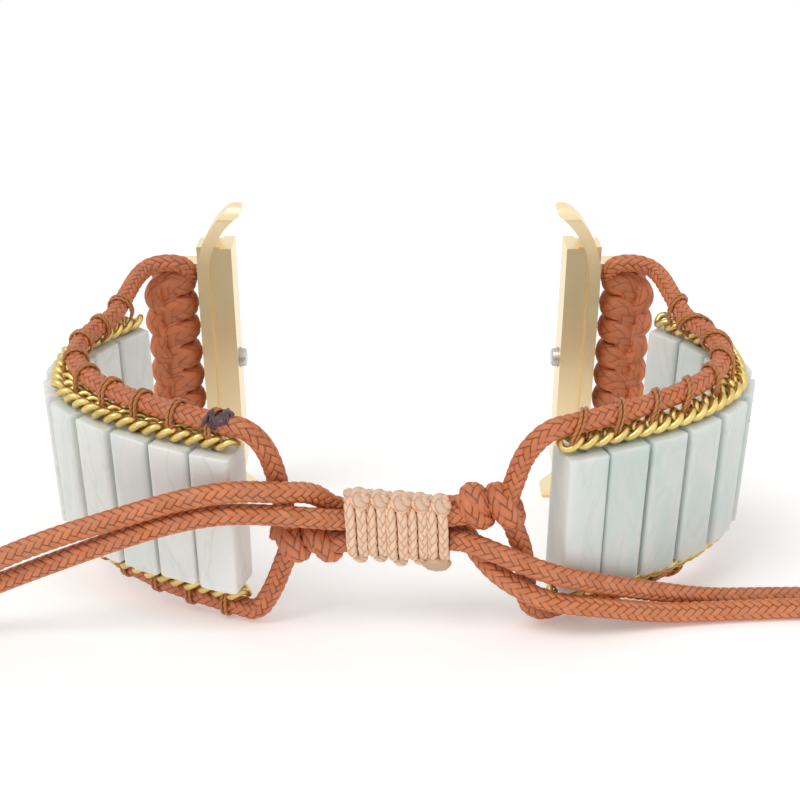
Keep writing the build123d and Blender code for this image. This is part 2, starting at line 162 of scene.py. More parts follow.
def place(points):
    """Points of the band in the frame's own coordinates."""
    return BAND_MIDDLE + np.asarray(points, float) @ BAND


def ahead(point, heading, distance):
    """Point of the plan reached from another along a heading."""
    angle = math.radians(heading)
    return (point[0] + distance * math.cos(angle), point[1] + distance * math.sin(angle))


def plan():
    """Bead centres and the points between beads, of the right-hand ladder."""
    centres, bends, spot = [], [], FIRST_BEAD
    for number, heading in enumerate(HEADINGS):
        centres.append(spot)
        if number + 1 < len(HEADINGS):
            following = HEADINGS[number + 1]
            half = BEAD / 2 * math.tan(math.radians((following - heading) / 2)) + BEAD_GAP / 2
            bend = ahead(spot, heading, BEAD / 2 + half)
            bends.append(bend)
            spot = ahead(bend, following, BEAD / 2 + half)
    return centres, bends


CENTRES, BENDS = plan()
BEND_HEADINGS = [(a + b) / 2 for a, b in zip(HEADINGS, HEADINGS[1:])]
STATIONS = [ahead(CENTRES[0], HEADINGS[0], -BEAD / 2 - BEAD_GAP)] + BENDS
STATIONS.append(ahead(CENTRES[-1], HEADINGS[-1], BEAD / 2))


# Objects, lines and tubes
CURVE_STEPS = 24
TINY = 1e-12
NEARLY_PARALLEL = 0.9
FULL_TURN = 2 * math.pi


def add_mesh(name, points, edges=(), faces=()):
    mesh = bpy.data.meshes.new(name)
    mesh.from_pydata(points, edges, faces)
    return mesh


def add_object(name, data):
    """A new object in the scene that shows the given data."""
    thing = bpy.data.objects.new(name, data)
    bpy.context.scene.collection.objects.link(thing)
    return thing


def smooth_line(points):
    """Points along the NURBS curve that has the given points as its control points."""
    curve = bpy.data.curves.new("route", "CURVE")
    curve.dimensions = "3D"
    spline = curve.splines.new("NURBS")
    spline.points.add(len(points) - 1)
    for spot, point in zip(spline.points, points):
        spot.co = (*point, 1)
    spline.order_u = 3
    spline.use_endpoint_u = True
    spline.resolution_u = CURVE_STEPS
    holder = add_object("route", curve)
    mesh = bpy.data.meshes.new_from_object(holder)
    line = np.array([vertex.co for vertex in mesh.vertices], float)
    bpy.data.meshes.remove(mesh)
    bpy.data.objects.remove(holder)
    bpy.data.curves.remove(curve)
    first, last = np.linalg.norm(line[[0, -1]] - np.array(points[0]), axis=1)
    return line[::-1] if first > last else line


def run_of(line):
    """Distance along a line at each of its points."""
    return np.concatenate([[0], np.cumsum(np.linalg.norm(np.diff(line, axis=0), axis=1))])


def even(line, count):
    """A number of evenly spaced points along a line."""
    run = run_of(line)
    spots = np.linspace(0, run[-1], count)
    return np.stack([np.interp(spots, run, line[:, k]) for k in range(3)], axis=1)


def unit(rows):
    return rows / np.maximum(np.linalg.norm(rows, axis=-1, keepdims=True), TINY)


def sides_of(line, up=None):
    """Directions to the side of a line and square to that. They turn as little as they can along
    it, or follow the directions given by up."""
    along = unit(np.gradient(line, axis=0))
    if up is not None:
        side = unit(up - np.sum(up * along, axis=1, keepdims=True) * along)
        return side, np.cross(along, side)
    start = BAND[2] if abs(along[0] @ BAND[2]) < NEARLY_PARALLEL else BAND[0]
    side = np.zeros_like(line)
    side[0] = unit(start - (start @ along[0]) * along[0])
    for k in range(1, len(line)):
        turned = side[k - 1] - (side[k - 1] @ along[k]) * along[k]
        side[k] = turned / np.linalg.norm(turned)
    return side, np.cross(along, side)


class Pile:
    """Vertices, faces and values of one piece that is made of several closed forms."""

    def __init__(self):
        self.points, self.faces, self.values, self.count = [], [], {}, 0

    def add(self, points, faces, **values):
        self.points.append(np.asarray(points, float))
        self.faces.extend((np.asarray(faces) + self.count).tolist())
        for key, value in values.items():
            self.values.setdefault(key, []).append(np.broadcast_to(value, len(points)))
        self.count += len(points)

    def piece(self, name, material):
        mesh = add_mesh(name, np.concatenate(self.points).tolist(), faces=self.faces)
        for key, value in self.values.items():
            layer = mesh.attributes.new(key, "FLOAT", "POINT")
            layer.data.foreach_set("value", np.concatenate(value).astype(np.float32))
        mesh.polygons.foreach_set("use_smooth", [True] * len(mesh.polygons))
        mesh.materials.append(material)
        mesh.update()
        return add_object(name, mesh)


def rings_round(line, size, angle, side, out, flat=(1, 1)):
    """Rings of points round a line, at the given sizes and angles."""
    rings = line[:, None] + (size * np.cos(angle) * flat[0])[..., None] * side[:, None]
    return rings + (size * np.sin(angle) * flat[1])[..., None] * out[:, None]


def skin(rings, flip=None):
    """Points and faces of a closed tube over rings of points, with a fan at each end. flip says
    which of its squares are cut along their other diagonal."""
    steps, around = rings.shape[:2]
    i, j = np.meshgrid(np.arange(steps - 1), np.arange(around), indexing="ij")
    a, b = i * around + j, i * around + (j + 1) % around
    c, d = b + around, a + around
    flip = np.zeros(a.shape, bool) if flip is None else flip
    first = np.where(flip[..., None], np.stack([a, b, d], -1), np.stack([a, b, c], -1))
    second = np.where(flip[..., None], np.stack([b, c, d], -1), np.stack([a, c, d], -1))
    faces = [first.reshape(-1, 3), second.reshape(-1, 3)]
    points = [rings.reshape(-1, 3), rings[0].mean(0)[None], rings[-1].mean(0)[None]]
    ring, base = np.arange(around), (steps - 1) * around
    start, end = steps * around, steps * around + 1
    after = (ring + 1) % around
    faces.append(np.stack([np.full(around, start), after, ring], -1))
    faces.append(np.stack([np.full(around, end), base + ring, base + after], -1))
    return np.concatenate(points), np.concatenate(faces)


# Braid: how square a strand's back is and how far it dips at its ends, the values that give each
# strand a shade of its own, how narrow a closed end gets, and the values at the fans' middles
STRAND_SQUARENESS = 3
STRAND_DIP = 0.6
SEED_STEP = 17
SCATTER = (12.9898, 43758.5453)
TIP_SHARE = 0.02
FAN_VALUES = [0.5, 0.5]


def braided(line, radius, row, relief, carriers=8, fine=8, flat=(1, 1), up=None, seed=0, ends=(0, 0)):
    """Rings of a braided cord: every strand passes over two and under two of the others.
    Gives the rings, how high each point lies on its strand, a value for each strand, and which
    way the squares between the rings are cut."""
    rows = max(2, round(run_of(line)[-1] / row))
    steps, around = rows * fine + 1, carriers * fine
    if up is not None:
        share = np.linspace(0, 1, steps) * (len(up) - 1)
        up = np.stack([np.interp(share, np.arange(len(up)), up[:, k]) for k in range(3)], 1)
    line = even(line, steps)
    side, out = sides_of(line, up)
    i, j = np.meshgrid(np.arange(steps), np.arange(around), indexing="ij")
    first, second = (i + j) / fine, (i - j) / fine
    first_row, second_row = np.floor(first), np.floor(second)
    first_share, second_share = first % 1, second % 1
    order = (first_row - second_row) % 4
    over = order < 2
    cross = np.where(over, first_share, second_share) * 2 - 1
    reach = np.select([order == 0, order == 1, order == 2],
                      [second_share, second_share - 1, first_share - 1], first_share)
    crown = np.sqrt(np.clip(1 - np.abs(cross) ** STRAND_SQUARENESS, 0, 1)) * (1 - STRAND_DIP * reach**2)
    strand = np.where(over, first_row % carriers, carriers + second_row % carriers) + seed * SEED_STEP
    shade = np.abs(np.sin(strand * SCATTER[0]) * SCATTER[1]) % 1
    angle = FULL_TURN * j / around + seed
    run = run_of(line)
    close = np.ones(steps)
    for reach_end, away in zip(ends, (run, run[-1] - run)):
        if reach_end:
            share = np.clip(away / reach_end, TIP_SHARE, 1)
            close *= np.sqrt(np.clip(1 - (1 - share) ** 2, 0, 1))
    size = (radius - relief * (1 - crown)) * close[:, None]
    return rings_round(line, size, angle, side, out, flat), crown, shade, over[:-1]


def add_braid(pile, woven, first=0, last=None, soft=0.0):
    """Adds a stretch of a braided cord to a pile, as one closed tube. soft lightens the painted shade in its
    creases.
    """
    rings, crown, shade, flip = woven
    last = len(rings) if last is None else last
    points, faces = skin(rings[first:last], flip[first:last - 1])
    crowns = soft + (1 - soft) * np.concatenate([crown[first:last].ravel(), FAN_VALUES])
    shades = np.concatenate([shade[first:last].ravel(), FAN_VALUES])
    pile.add(points, faces, crease=crowns, strand=shades)


def add_cord(pile, line, thick=1, row=1, relief=1, soft=0.0, **form):
    """Adds the band's own cord along a line. thick, row and relief are shares of its sizes."""
    sizes = bpy.context.scene.band_sizes
    woven = braided(line, CORD / 2 * thick, sizes.braid_row * row, sizes.braid_relief * relief, **form)
    add_braid(pile, woven, soft=soft)


# Twisted thread: points round it, distance between its rings, plies, how deep the groove between
# them is, and how its shade changes from one thread to the next
TWIST_POINTS = 12
TWIST_STEP = 0.00009
TWIST_PLIES = 2
TWIST_DEPTH = 0.20
TWIST_SHADE = 0.37


def add_twist(pile, line, radius, pitch, seed=0):
    """Adds a thin twisted thread."""
    steps = max(6, int(run_of(line)[-1] / TWIST_STEP))
    line = even(line, steps)
    side, out = sides_of(line)
    run = run_of(line)
    angle = FULL_TURN * np.arange(TWIST_POINTS)[None] / TWIST_POINTS
    crown = np.abs(np.cos(TWIST_PLIES / 2 * (angle - FULL_TURN * run[:, None] / pitch)))
    size = radius * (1 - TWIST_DEPTH + TWIST_DEPTH * crown)
    points, faces = skin(rings_round(line, size, angle, side, out))
    # crown also paints shade into the groove between the plies
    crowns = np.concatenate([crown.ravel(), FAN_VALUES])
    pile.add(points, faces, crease=crowns, strand=(seed * TWIST_SHADE) % 1)


# Melted lumps: rings, points round each, the angle left open at the poles, and the size and share
# of the waves on them
LUMP_RINGS = 20
LUMP_POINTS = 28
LUMP_POLE = 0.12
LUMP_WAVES = ((1.7, 1), (5, 0.4))
LUMP_VALUES = {"crease": 0.8, "strand": 0.5}


def lump(pile, centre, reach, seed, rough=0.18):
    """Adds a lump of melted cord. reach holds its half sizes in the band's directions."""
    polar = np.linspace(LUMP_POLE, math.pi - LUMP_POLE, LUMP_RINGS)
    turn = FULL_TURN * np.arange(LUMP_POINTS) / LUMP_POINTS
    ball = np.stack([
        np.cos(polar)[:, None] * np.ones(LUMP_POINTS),
        np.sin(polar)[:, None] * np.cos(turn),
        np.sin(polar)[:, None] * np.sin(turn),
    ], -1)
    for point in ball.reshape(-1, 3):
        waves = (share * noise.noise(Vector(point * grain + seed)) for grain, share in LUMP_WAVES)
        point *= 1 + rough * sum(waves)
    points, faces = skin(place(np.array(centre) + ball[::-1] * np.array(reach)))
    pile.add(points, faces, **LUMP_VALUES)


# Finishes: colours that the panel doesn't hold, and grains, which are counts per metre
CHALK = (0.88, 0.885, 0.85)
GREENER = (0.80, 0.94, 0.93)
VEIN = (0.55, 0.62, 0.59)
SPECK = (0.27, 0.20, 0.13)
# Each melted pair holds the colour on top, then the painted shade for its creases.
MELTED_THREAD = ((0.09, 0.035, 0.04), (0.02, 0.008, 0.012))
MELTED_CORD = ((0.60, 0.38, 0.23), (0.35, 0.20, 0.11))
STEEL = (0.62, 0.62, 0.60)
CLOUD_GRAIN = 420
VEIN_GRAIN = 210
SPECK_GRAIN = 620
SPECK_PATCH_GRAIN = 190
STONE_BUMP = (1500, 0.25, 0.00006)
CORD_BLOTCH_GRAIN = 700
CORD_BUMP = (9000, 0.35, 0.00004)
METAL_BUMP = (0.08, 0.00003)
STONE_DEPTH = 0.0020


def new_finish(name, roughness, metallic=0.0):
    material = bpy.data.materials.new(name)
    material.use_nodes = True
    shader = material.node_tree.nodes["Principled BSDF"]
    shader.inputs["Roughness"].default_value = roughness
    shader.inputs["Metallic"].default_value = metallic
    return material, material.node_tree, shader


def add_node(tree, kind, values=None, **settings):
    """Adds a node. values holds numbers and sockets for its inputs, by name or place."""
    made = tree.nodes.new(kind)
    for key, value in settings.items():
        setattr(made, key, value)
    for key, value in (values or {}).items():
        if isinstance(value, bpy.types.NodeSocket):
            tree.links.new(value, made.inputs[key])
        else:
            made.inputs[key].default_value = value
    return made


def ramp(tree, factor, stops):
    """Colour that follows a value through the given stops."""
    made = add_node(tree, "ShaderNodeValToRGB", {0: factor})
    points = made.color_ramp.elements
    while len(points) < len(stops):
        points.new(0.5)
    for point, (spot, colour) in zip(points, stops):
        point.position = spot
        point.color = (*colour, 1)
    return made.outputs[0]


def grey(value):
    return (value, value, value)


def mix(tree, factor, first, second, blend="MIX"):
    """Mixes two colours, each a socket or a plain colour, by a value or socket."""
    made = add_node(tree, "ShaderNodeMix", data_type="RGBA", blend_type=blend)
    for place_in, value in ((0, factor), (6, first), (7, second)):
        if isinstance(value, bpy.types.NodeSocket):
            tree.links.new(value, made.inputs[place_in])
        else:
            made.inputs[place_in].default_value = value if place_in == 0 else (*value, 1)
    return made.outputs[2]


def maths(tree, operation, first, second=0.0):
    return add_node(tree, "ShaderNodeMath", {0: first, 1: second}, operation=operation).outputs[0]


def object_spots(tree, stretch=(1, 1, 1)):
    """The piece's own coordinates, turned so that Z runs along the beads."""
    spots = add_node(tree, "ShaderNodeTexCoord").outputs["Object"]
    return add_node(tree, "ShaderNodeMapping", {
        "Vector": spots, "Scale": stretch, "Rotation": (-LEAN, 0, 0),
    }).outputs[0]


def noise_of(tree, spots, scale, detail=2.0, rough=0.5, distortion=0.0):
    return add_node(tree, "ShaderNodeTexNoise", {
        "Vector": spots, "Scale": scale, "Detail": detail, "Roughness": rough, "Distortion": distortion,
    }).outputs[0]


def bump(tree, shader, height, strength, distance):
    made = add_node(tree, "ShaderNodeBump", {
        "Height": height, "Strength": strength, "Distance": distance,
    })
    tree.links.new(made.outputs[0], shader.inputs["Normal"])


def value_of(tree, key):
    return add_node(tree, "ShaderNodeAttribute", attribute_name=key).outputs["Fac"]


def stone_finish(name, pale, roughness):
    """Pale milky green stone with soft streaks, faint veins and a few dark specks."""
    material, tree, shader = new_finish(name, roughness)
    spots = object_spots(tree, (1, 1, 0.3))
    green = [a * b for a, b in zip(pale, GREENER)]
    cloudy = noise_of(tree, spots, CLOUD_GRAIN, 3, 0.55, 0.6)
    clouds = ramp(tree, cloudy, ((0.36, green), (0.62, pale)))
    own = mix(tree, value_of(tree, "tint"), clouds, CHALK)
    veins = noise_of(tree, spots, VEIN_GRAIN, 3, 0.5, 1.4)
    lines = ramp(tree, veins, ((0.45, grey(0)), (0.5, grey(0.32)), (0.53, grey(0))))
    veined = mix(tree, lines, own, VEIN)
    dots = add_node(tree, "ShaderNodeTexVoronoi", {"Vector": object_spots(tree), "Scale": SPECK_GRAIN})
    near = ramp(tree, dots.outputs["Distance"], ((0.06, grey(1)), (0.10, grey(0))))
    patches = noise_of(tree, spots, SPECK_PATCH_GRAIN, 1)
    where = ramp(tree, patches, ((0.60, grey(0)), (0.66, grey(0.75))))
    specks = mix(tree, 1.0, near, where, "MULTIPLY")
    tree.links.new(mix(tree, specks, veined, SPECK), shader.inputs["Base Color"])
    shader.inputs["Subsurface Weight"].default_value = 0.6
    shader.inputs["Subsurface Radius"].default_value = (1.0, 1.1, 1.0)
    shader.inputs["Subsurface Scale"].default_value = STONE_DEPTH
    grain, strength, distance = STONE_BUMP
    bump(tree, shader, noise_of(tree, spots, grain, 3, 0.6), strength, distance)
    return material


def cord_finish(name, crown, painted_shade, roughness, wear_and_sheen=0.25):
    """Waxed braid: painted shade between the strands, each strand a little different, with soft blotches."""
    material, tree, shader = new_finish(name, roughness)
    # The crease value paints shade into the braid: painted shade at the bottom of a crease, the crown colour
    # on top of a strand.
    middle_tone = [0.55 * a + 0.45 * b for a, b in zip(crown, painted_shade)]
    base = ramp(tree, value_of(tree, "crease"), ((0.08, painted_shade), (0.32, middle_tone), (0.68, crown)))
    strands = ramp(tree, value_of(tree, "strand"), ((0.0, grey(0.84)), (1.0, grey(1.10))))
    toned = mix(tree, 1.0, base, strands, "MULTIPLY")
    spots = object_spots(tree)
    # Pale blotches at random spots: partly wear of the wax and partly painted sheen, strongest on the tails.
    blotchy = noise_of(tree, spots, CORD_BLOTCH_GRAIN, 3, 0.6)
    blotches = ramp(tree, blotchy, ((0.35, grey(0)), (0.7, grey(wear_and_sheen))))
    paler = [min(1.0, 0.75 * c + 0.16) for c in crown]
    tree.links.new(mix(tree, blotches, toned, paler), shader.inputs["Base Color"])
    shader.inputs["Coat Weight"].default_value = 0.12
    shader.inputs["Coat Roughness"].default_value = 0.45
    grain, strength, distance = CORD_BUMP
    bump(tree, shader, noise_of(tree, spots, grain, 3, 0.65), strength, distance)
    return material


def metal_finish(name, colour, roughness, mottle, shade=0.75):
    """Metal with faint cloudy tone and fine scratches."""
    material, tree, shader = new_finish(name, roughness, 1.0)
    spots = object_spots(tree)
    dark = [c * shade for c in colour]
    clouds = ramp(tree, noise_of(tree, spots, mottle, 3, 0.6), ((0.32, dark), (0.62, colour)))
    tree.links.new(clouds, shader.inputs["Base Color"])
    marks = noise_of(tree, object_spots(tree, (1, 1, 12)), mottle * 3, 2)
    scratched = ramp(tree, marks, ((0.3, grey(roughness * 0.95)), (0.7, grey(roughness * 1.15))))
    tree.links.new(scratched, shader.inputs["Roughness"])
    bump(tree, shader, noise_of(tree, spots, mottle * 2, 2), *METAL_BUMP)
    return material


def finish(name):
    """A finish by name, made once."""
    if name in bpy.data.materials:
        return bpy.data.materials[name]
    tones = bpy.context.scene.band_finishes
    # The lacing thread's creases get painted shade: its own colour darkened.
    thread_painted_shade = [c * 0.4 for c in tones.thread]
    maker, *values = {
        "milky_stone": (stone_finish, tones.stone, 0.34),
        "waxed_cord": (cord_finish, tones.cord, tones.cord_painted_shade, 0.52),
        "tail_cord": (cord_finish, tones.tail, tones.cord_painted_shade, 0.48, 0.32),
        "pale_braid": (cord_finish, tones.knot, tones.knot_painted_shade, 0.62),
        "lacing_thread": (cord_finish, tones.thread, thread_painted_shade, 0.4, 0.12),
        "melted_thread": (cord_finish, *MELTED_THREAD, 0.35, 0.06),
        "melted_cord": (cord_finish, *MELTED_CORD, 0.4, 0.15),
        "brass_chain": (metal_finish, tones.chain, 0.34, 500),
        "gold_plating": (metal_finish, tones.plating, 0.30, 160, 0.96),
        "plain_steel": (metal_finish, STEEL, 0.3, 400),
    }[name]
    return maker(name, *values)


# Shared routes
def own_side(side, points):
    """Points of the right-hand half, mirrored for the left."""
    points = np.asarray(points, float).copy()
    points[:, 0] *= SIDES[side]
    return points


def cord_route(side, level):
    """Line of one cord of the band, from its stopper knot to its hitch."""
    sign, up = SIDES[side], LEVELS[level]
    lobes, lobe_level, _ = LOBES[side]
    turn = math.radians(STUB_TURNS[side, level])
    stub = np.array([math.cos(turn), 0, math.sin(turn)])
    lobe = np.array([lobes[1], KNOT_Y, lobe_level])
    plan_line = [ahead(CENTRES[0], HEADINGS[0], -CORD_START * BEAD)] + BENDS
    plan_line = [
        ahead(spot, heading + 90, share * CORD)
        for spot, heading, share in zip(plan_line, [HEADINGS[0]] + BEND_HEADINGS, INSETS)
    ]
    near, far = np.array(plan_line[0]), np.array(plan_line[1])
    second = near - (far - near) * LEAD_RUN / np.linalg.norm(far - near)
    last_x, last_y = plan_line[-1]
    half = ((last_x + BAR_X) / 2 + SPAN_OUT, (last_y - SPAN_FORWARD) / 2)
    points = [lobe + stub * reach for reach in (STUB_START, STUB_REACH, STUB_REACH + STUB_RUN)]
    points += [np.array(point) for point in LEADS[side, level][::-1]]
    points += [np.array([sign * x, y, up * CORD_LEVEL]) for x, y in (second, *plan_line)]
    points.append(np.array([sign * half[0], half[1], up * (CORD_LEVEL + SPAN_RISE)]))
    points += [np.array([sign * (BAR_X + x), y, up * z]) for x, y, z in HITCH_START]
    return smooth_line(place(points))


def gap_of(side, number):
    """Place of a gap between two beads, and the direction in which the ladder runs there."""
    spot, angle = BENDS[number], math.radians(BEND_HEADINGS[number])
    forward = SIDES[side] * math.cos(angle) * BAND[0] + math.sin(angle) * BAND[1]
    return place([(SIDES[side] * spot[0], spot[1], 0)])[0], forward


def bend_with(piece, side, name):
    """Bakes a piece's placement into its mesh; the place and direction of the line where the ladder flexes
    are found but not used.
    """
    point, forward = gap_of(side, HINGES[name])
    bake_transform(piece)


def harden(thing):
    """Turns the result of an object's modifiers into its plain mesh."""
    bpy.context.view_layer.update()
    graph = bpy.context.evaluated_depsgraph_get()
    mesh = bpy.data.meshes.new_from_object(thing.evaluated_get(graph))
    thing.modifiers.clear()
    thing.data = mesh


def tree_with(name, sockets):
    """A geometry node tree with the given named inputs: the tree, its inputs and its output node."""
    tree = bpy.data.node_groups.new(name, "GeometryNodeTree")
    tree.interface.new_socket("Geometry", in_out="OUTPUT", socket_type="NodeSocketGeometry")
    tree.interface.new_socket("Geometry", in_out="INPUT", socket_type="NodeSocketGeometry")
    for label, kind in sockets:
        tree.interface.new_socket(label, in_out="INPUT", socket_type="NodeSocket" + kind)
    return tree, tree.nodes.new("NodeGroupInput").outputs, tree.nodes.new("NodeGroupOutput")


def use_tree(thing, tree, values):
    """Puts a tree on an object, with its inputs set by name before it is first evaluated."""
    modifier = thing.modifiers.new(tree.name, "NODES")
    modifier.node_group = tree
    for socket in tree.interface.items_tree:
        if socket.item_type == "SOCKET" and socket.in_out == "INPUT" and socket.name in values:
            modifier[socket.identifier] = values[socket.name]


def end_of_tree(tree, shape, given, out):
    """Realize Instances and Set Material, which end every tree."""
    solid = add_node(tree, "GeometryNodeRealizeInstances", {0: shape}).outputs[0]
    smooth = add_node(tree, "GeometryNodeSetShadeSmooth", {"Geometry": solid}).outputs[0]
    painted = add_node(tree, "GeometryNodeSetMaterial", {
        "Geometry": smooth, "Material": given["Material"],
    }).outputs[0]
    tree.links.new(painted, out.inputs[0])


# Beads: points round a bead, how square it is, shares of the bore's radius and depths at its
# mouth, and points along its sides
BEAD_POINTS = 72
SQUARENESS = 18
BORE_MOUTH = ((1, 0.0004), (1.02, 0.00012), (1.2, 0.0))
FACE_SHARES = (0.25, 0.5, 0.75)
EDGE_ANGLES = (0, 18, 36, 54, 72, 90)
BEAD_SPANS = 14

# How one bead differs from the next: shares of its size, degrees of turn and amount of white
WIDTHS = (0.982, 1.0)
DEPTHS = (0.97, 1.0)
LENGTHS = (0.972, 0.999)
EDGES = (0.8, 1.1)
TURNS = (-1.2, 1.2)
TINTS = (0, 0.5)
SIDE_TINTS = {"right": 0.05, "left": 0.35}
BEAD_SEED = 41

# Wear of a bead: how much it tapers, then grains per metre and depths of its waves, chips and
# uneven ends, the depths as shares of its size
WEDGE = 0.026
WAVE_GRAIN, WAVE_DEPTH, WAVE_SHIFT, WAVE_MOST = 200, 0.005, 0.001, 0.002
CHIP_GRAIN, CHIP_DEPTH, CHIP_FEWER, CHIP_CORNER = 1100, 0.10, 0.10, 1.85
END_GRAIN, END_DEPTH, END_CHIP, END_FROM = 240, 0.010, 0.3, 0.44
END_RISE, END_START, MIDDLE_CHIP = 24, 11, 0.12


def bead_loops(wide, deep, long, edge):
    """Rings of points over a square bead: round its bore, over one end, along its sides and back."""
    turn = FULL_TURN * (np.arange(BEAD_POINTS) + 0.5) / BEAD_POINTS
    cosine, sine = np.cos(turn), np.sin(turn)
    square = (np.abs(cosine) ** SQUARENESS + np.abs(sine) ** SQUARENESS) ** (-1 / SQUARENESS)
    half = long / 2

    def outline(inset):
        return np.stack([(wide / 2 - inset) * cosine * square, (deep / 2 - inset) * sine * square], 1)

    bore = np.stack([cosine, sine], 1) * BEAD_BORE / 2
    loops = [(bore * share, half - depth) for share, depth in BORE_MOUTH]
    mouth = loops[-1][0]
    loops += [(mouth * (1 - share) + outline(edge) * share, half) for share in FACE_SHARES]
    for angle in np.radians(EDGE_ANGLES):
        loops.append((outline(edge * (1 - math.sin(angle))), half - edge * (1 - math.cos(angle))))
    loops += [(outline(0), level) for level in np.linspace(half - edge, 0, BEAD_SPANS)[1:]]
    loops += [(flat, -level) for flat, level in loops[-2::-1]]
    return np.array([np.column_stack([flat, np.full(BEAD_POINTS, level)]) for flat, level in loops])


def bead_mesh(rng, edge):
    """One bead: slightly uneven in size, worn and chipped along its edges."""
    wide, deep = BEAD * rng.uniform(*WIDTHS), BEAD * rng.uniform(*DEPTHS)
    long = BEAD_LENGTH * rng.uniform(*LENGTHS)
    loops = bead_loops(wide, deep, long, edge * rng.uniform(*EDGES))
    seed = Vector(rng.uniform(0, 90, 3))
    bore = len(BORE_MOUTH)
    for point in loops[bore:-bore].reshape(-1, 3):
        spot = Vector(point)
        corner = abs(point[0]) / wide * 2 + abs(point[1]) / deep * 2 + abs(point[2]) / long * 2
        wave = noise.noise(spot * WAVE_GRAIN + seed) * WAVE_DEPTH
        end = max(MIDDLE_CHIP, min(1.0, abs(point[2]) / long * END_RISE - END_START))
        chip = max(0.0, noise.noise(spot * CHIP_GRAIN + seed * 2) - CHIP_FEWER) * CHIP_DEPTH
        chip = chip * max(0.0, corner - CHIP_CORNER) * end
        point[:2] *= 1 + min(WAVE_MOST, wave - WAVE_SHIFT) - chip
        point[0] *= 1 - WEDGE * point[1] / deep * 2
        if abs(point[2]) > long * END_FROM:
            uneven = abs(noise.noise(spot * END_GRAIN + seed)) * END_DEPTH
            point[2] *= 1 - chip * END_CHIP - uneven
    return loops


def closed_skin(loops):
    """Faces of a form whose last ring joins its first."""
    steps, around = loops.shape[:2]
    i, j = np.meshgrid(np.arange(steps), np.arange(around), indexing="ij")
    after, beside = (i + 1) % steps, (j + 1) % around
    corners = (i * around + j, after * around + j, after * around + beside, i * around + beside)
    return np.stack(corners, -1).reshape(-1, 4)


class BAND_OT_beads(bpy.types.Operator):
    """Make the eighteen stone beads, each a little different"""

    bl_idname = "band.beads"
    bl_label = "Beads"

    def execute(self, context):
        rng = np.random.default_rng(BEAD_SEED)
        edge = context.scene.band_sizes.bead_edge
        for side, sign in SIDES.items():
            for number, (spot, heading) in enumerate(zip(CENTRES, HEADINGS), start=1):
                loops = bead_mesh(rng, edge)
                angle = math.radians(sign * heading + rng.uniform(*TURNS))
                x = loops[..., 0] * math.cos(angle) - loops[..., 1] * math.sin(angle)
                y = loops[..., 0] * math.sin(angle) + loops[..., 1] * math.cos(angle)
                slack = (BEAD_LENGTH / 2 - loops[..., 2].max()) * rng.uniform(-1, 1)
                local = np.stack([x + sign * spot[0], y + spot[1], loops[..., 2] + slack], -1)
                pile = Pile()
                tint = rng.uniform(*TINTS) + SIDE_TINTS[side]
                pile.add(place(local.reshape(-1, 3)), closed_skin(loops), tint=tint)
                bead = pile.piece(f"{side}_stone_{number:02d}", finish("milky_stone"))
                part = next(part for part, last in LAST_OF.items() if number <= last)
                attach(bead, f"{side}_{part}")
                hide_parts(f"{side}_bead_{number:02d}")
        return {"FINISHED"}


# Chain: its level, links in each stretch, points round a link and its wire, points along its line,
# and how far the end links stand in from the line's ends, in links
CHAIN_LEVEL = 0.00743
LINKS = {"front": 14, "turn": 6, "back": 6}
LINK_POINTS = 22
WIRE_POINTS = 10
CHAIN_POINTS = 60
CHAIN_INSET = 0.62


def chain_tree():
    """Curb chain: links, each rolled from one end to the other, set along every line it is given."""
    tree, given, out = tree_with("curb_chain", (
        ("Links", "Int"), ("Link Length", "Float"), ("Link Width", "Float"), ("Wire", "Float"),
        ("Roll", "Float"), ("Flat Side", "Vector"), ("Material", "Material"),
    ))

    def times(first, second):
        return maths(tree, "MULTIPLY", first, second)

    circle = add_node(tree, "GeometryNodeCurvePrimitiveCircle", {
        "Resolution": LINK_POINTS, "Radius": 1.0})
    parts = add_node(tree, "ShaderNodeSeparateXYZ", {
        0: tree.nodes.new("GeometryNodeInputPosition").outputs[0]})
    x, y = parts.outputs[0], parts.outputs[1]
    roll = times(x, times(given["Roll"], 0.5))
    half_wide = times(y, times(given["Link Width"], 0.5))
    moved = add_node(tree, "ShaderNodeCombineXYZ", {
        0: times(x, times(given["Link Length"], 0.5)),
        1: times(half_wide, maths(tree, "COSINE", roll)),
        2: times(half_wide, maths(tree, "SINE", roll)),
    })
    oval = add_node(tree, "GeometryNodeSetPosition", {
        "Geometry": circle.outputs[0], "Position": moved.outputs[0]})
    wire = add_node(tree, "GeometryNodeCurvePrimitiveCircle", {
        "Resolution": WIRE_POINTS, "Radius": times(given["Wire"], 0.5)})
    link = add_node(tree, "GeometryNodeCurveToMesh", {0: oval.outputs[0], 1: wire.outputs[0]})
    line = add_node(tree, "GeometryNodeMeshToCurve", {0: given["Geometry"]})
    gap = maths(tree, "DIVIDE", CHAIN_INSET, given["Links"])
    trim = add_node(tree, "GeometryNodeTrimCurve", {
        0: line.outputs[0], 2: gap, 3: maths(tree, "SUBTRACT", 1.0, gap)})
    spots = add_node(tree, "GeometryNodeResampleCurve", {"Curve": trim.outputs[0], "Count": given["Links"]})
    facing = add_node(tree, "FunctionNodeAxesToRotation", {
        0: tree.nodes.new("GeometryNodeInputTangent").outputs[0], 1: given["Flat Side"],
    }, primary_axis="X", secondary_axis="Z")
    chain = add_node(tree, "GeometryNodeInstanceOnPoints", {
        "Points": spots.outputs[0], "Instance": link.outputs[0], "Rotation": facing.outputs[0]})
    end_of_tree(tree, chain.outputs[0], given, out)
    return tree


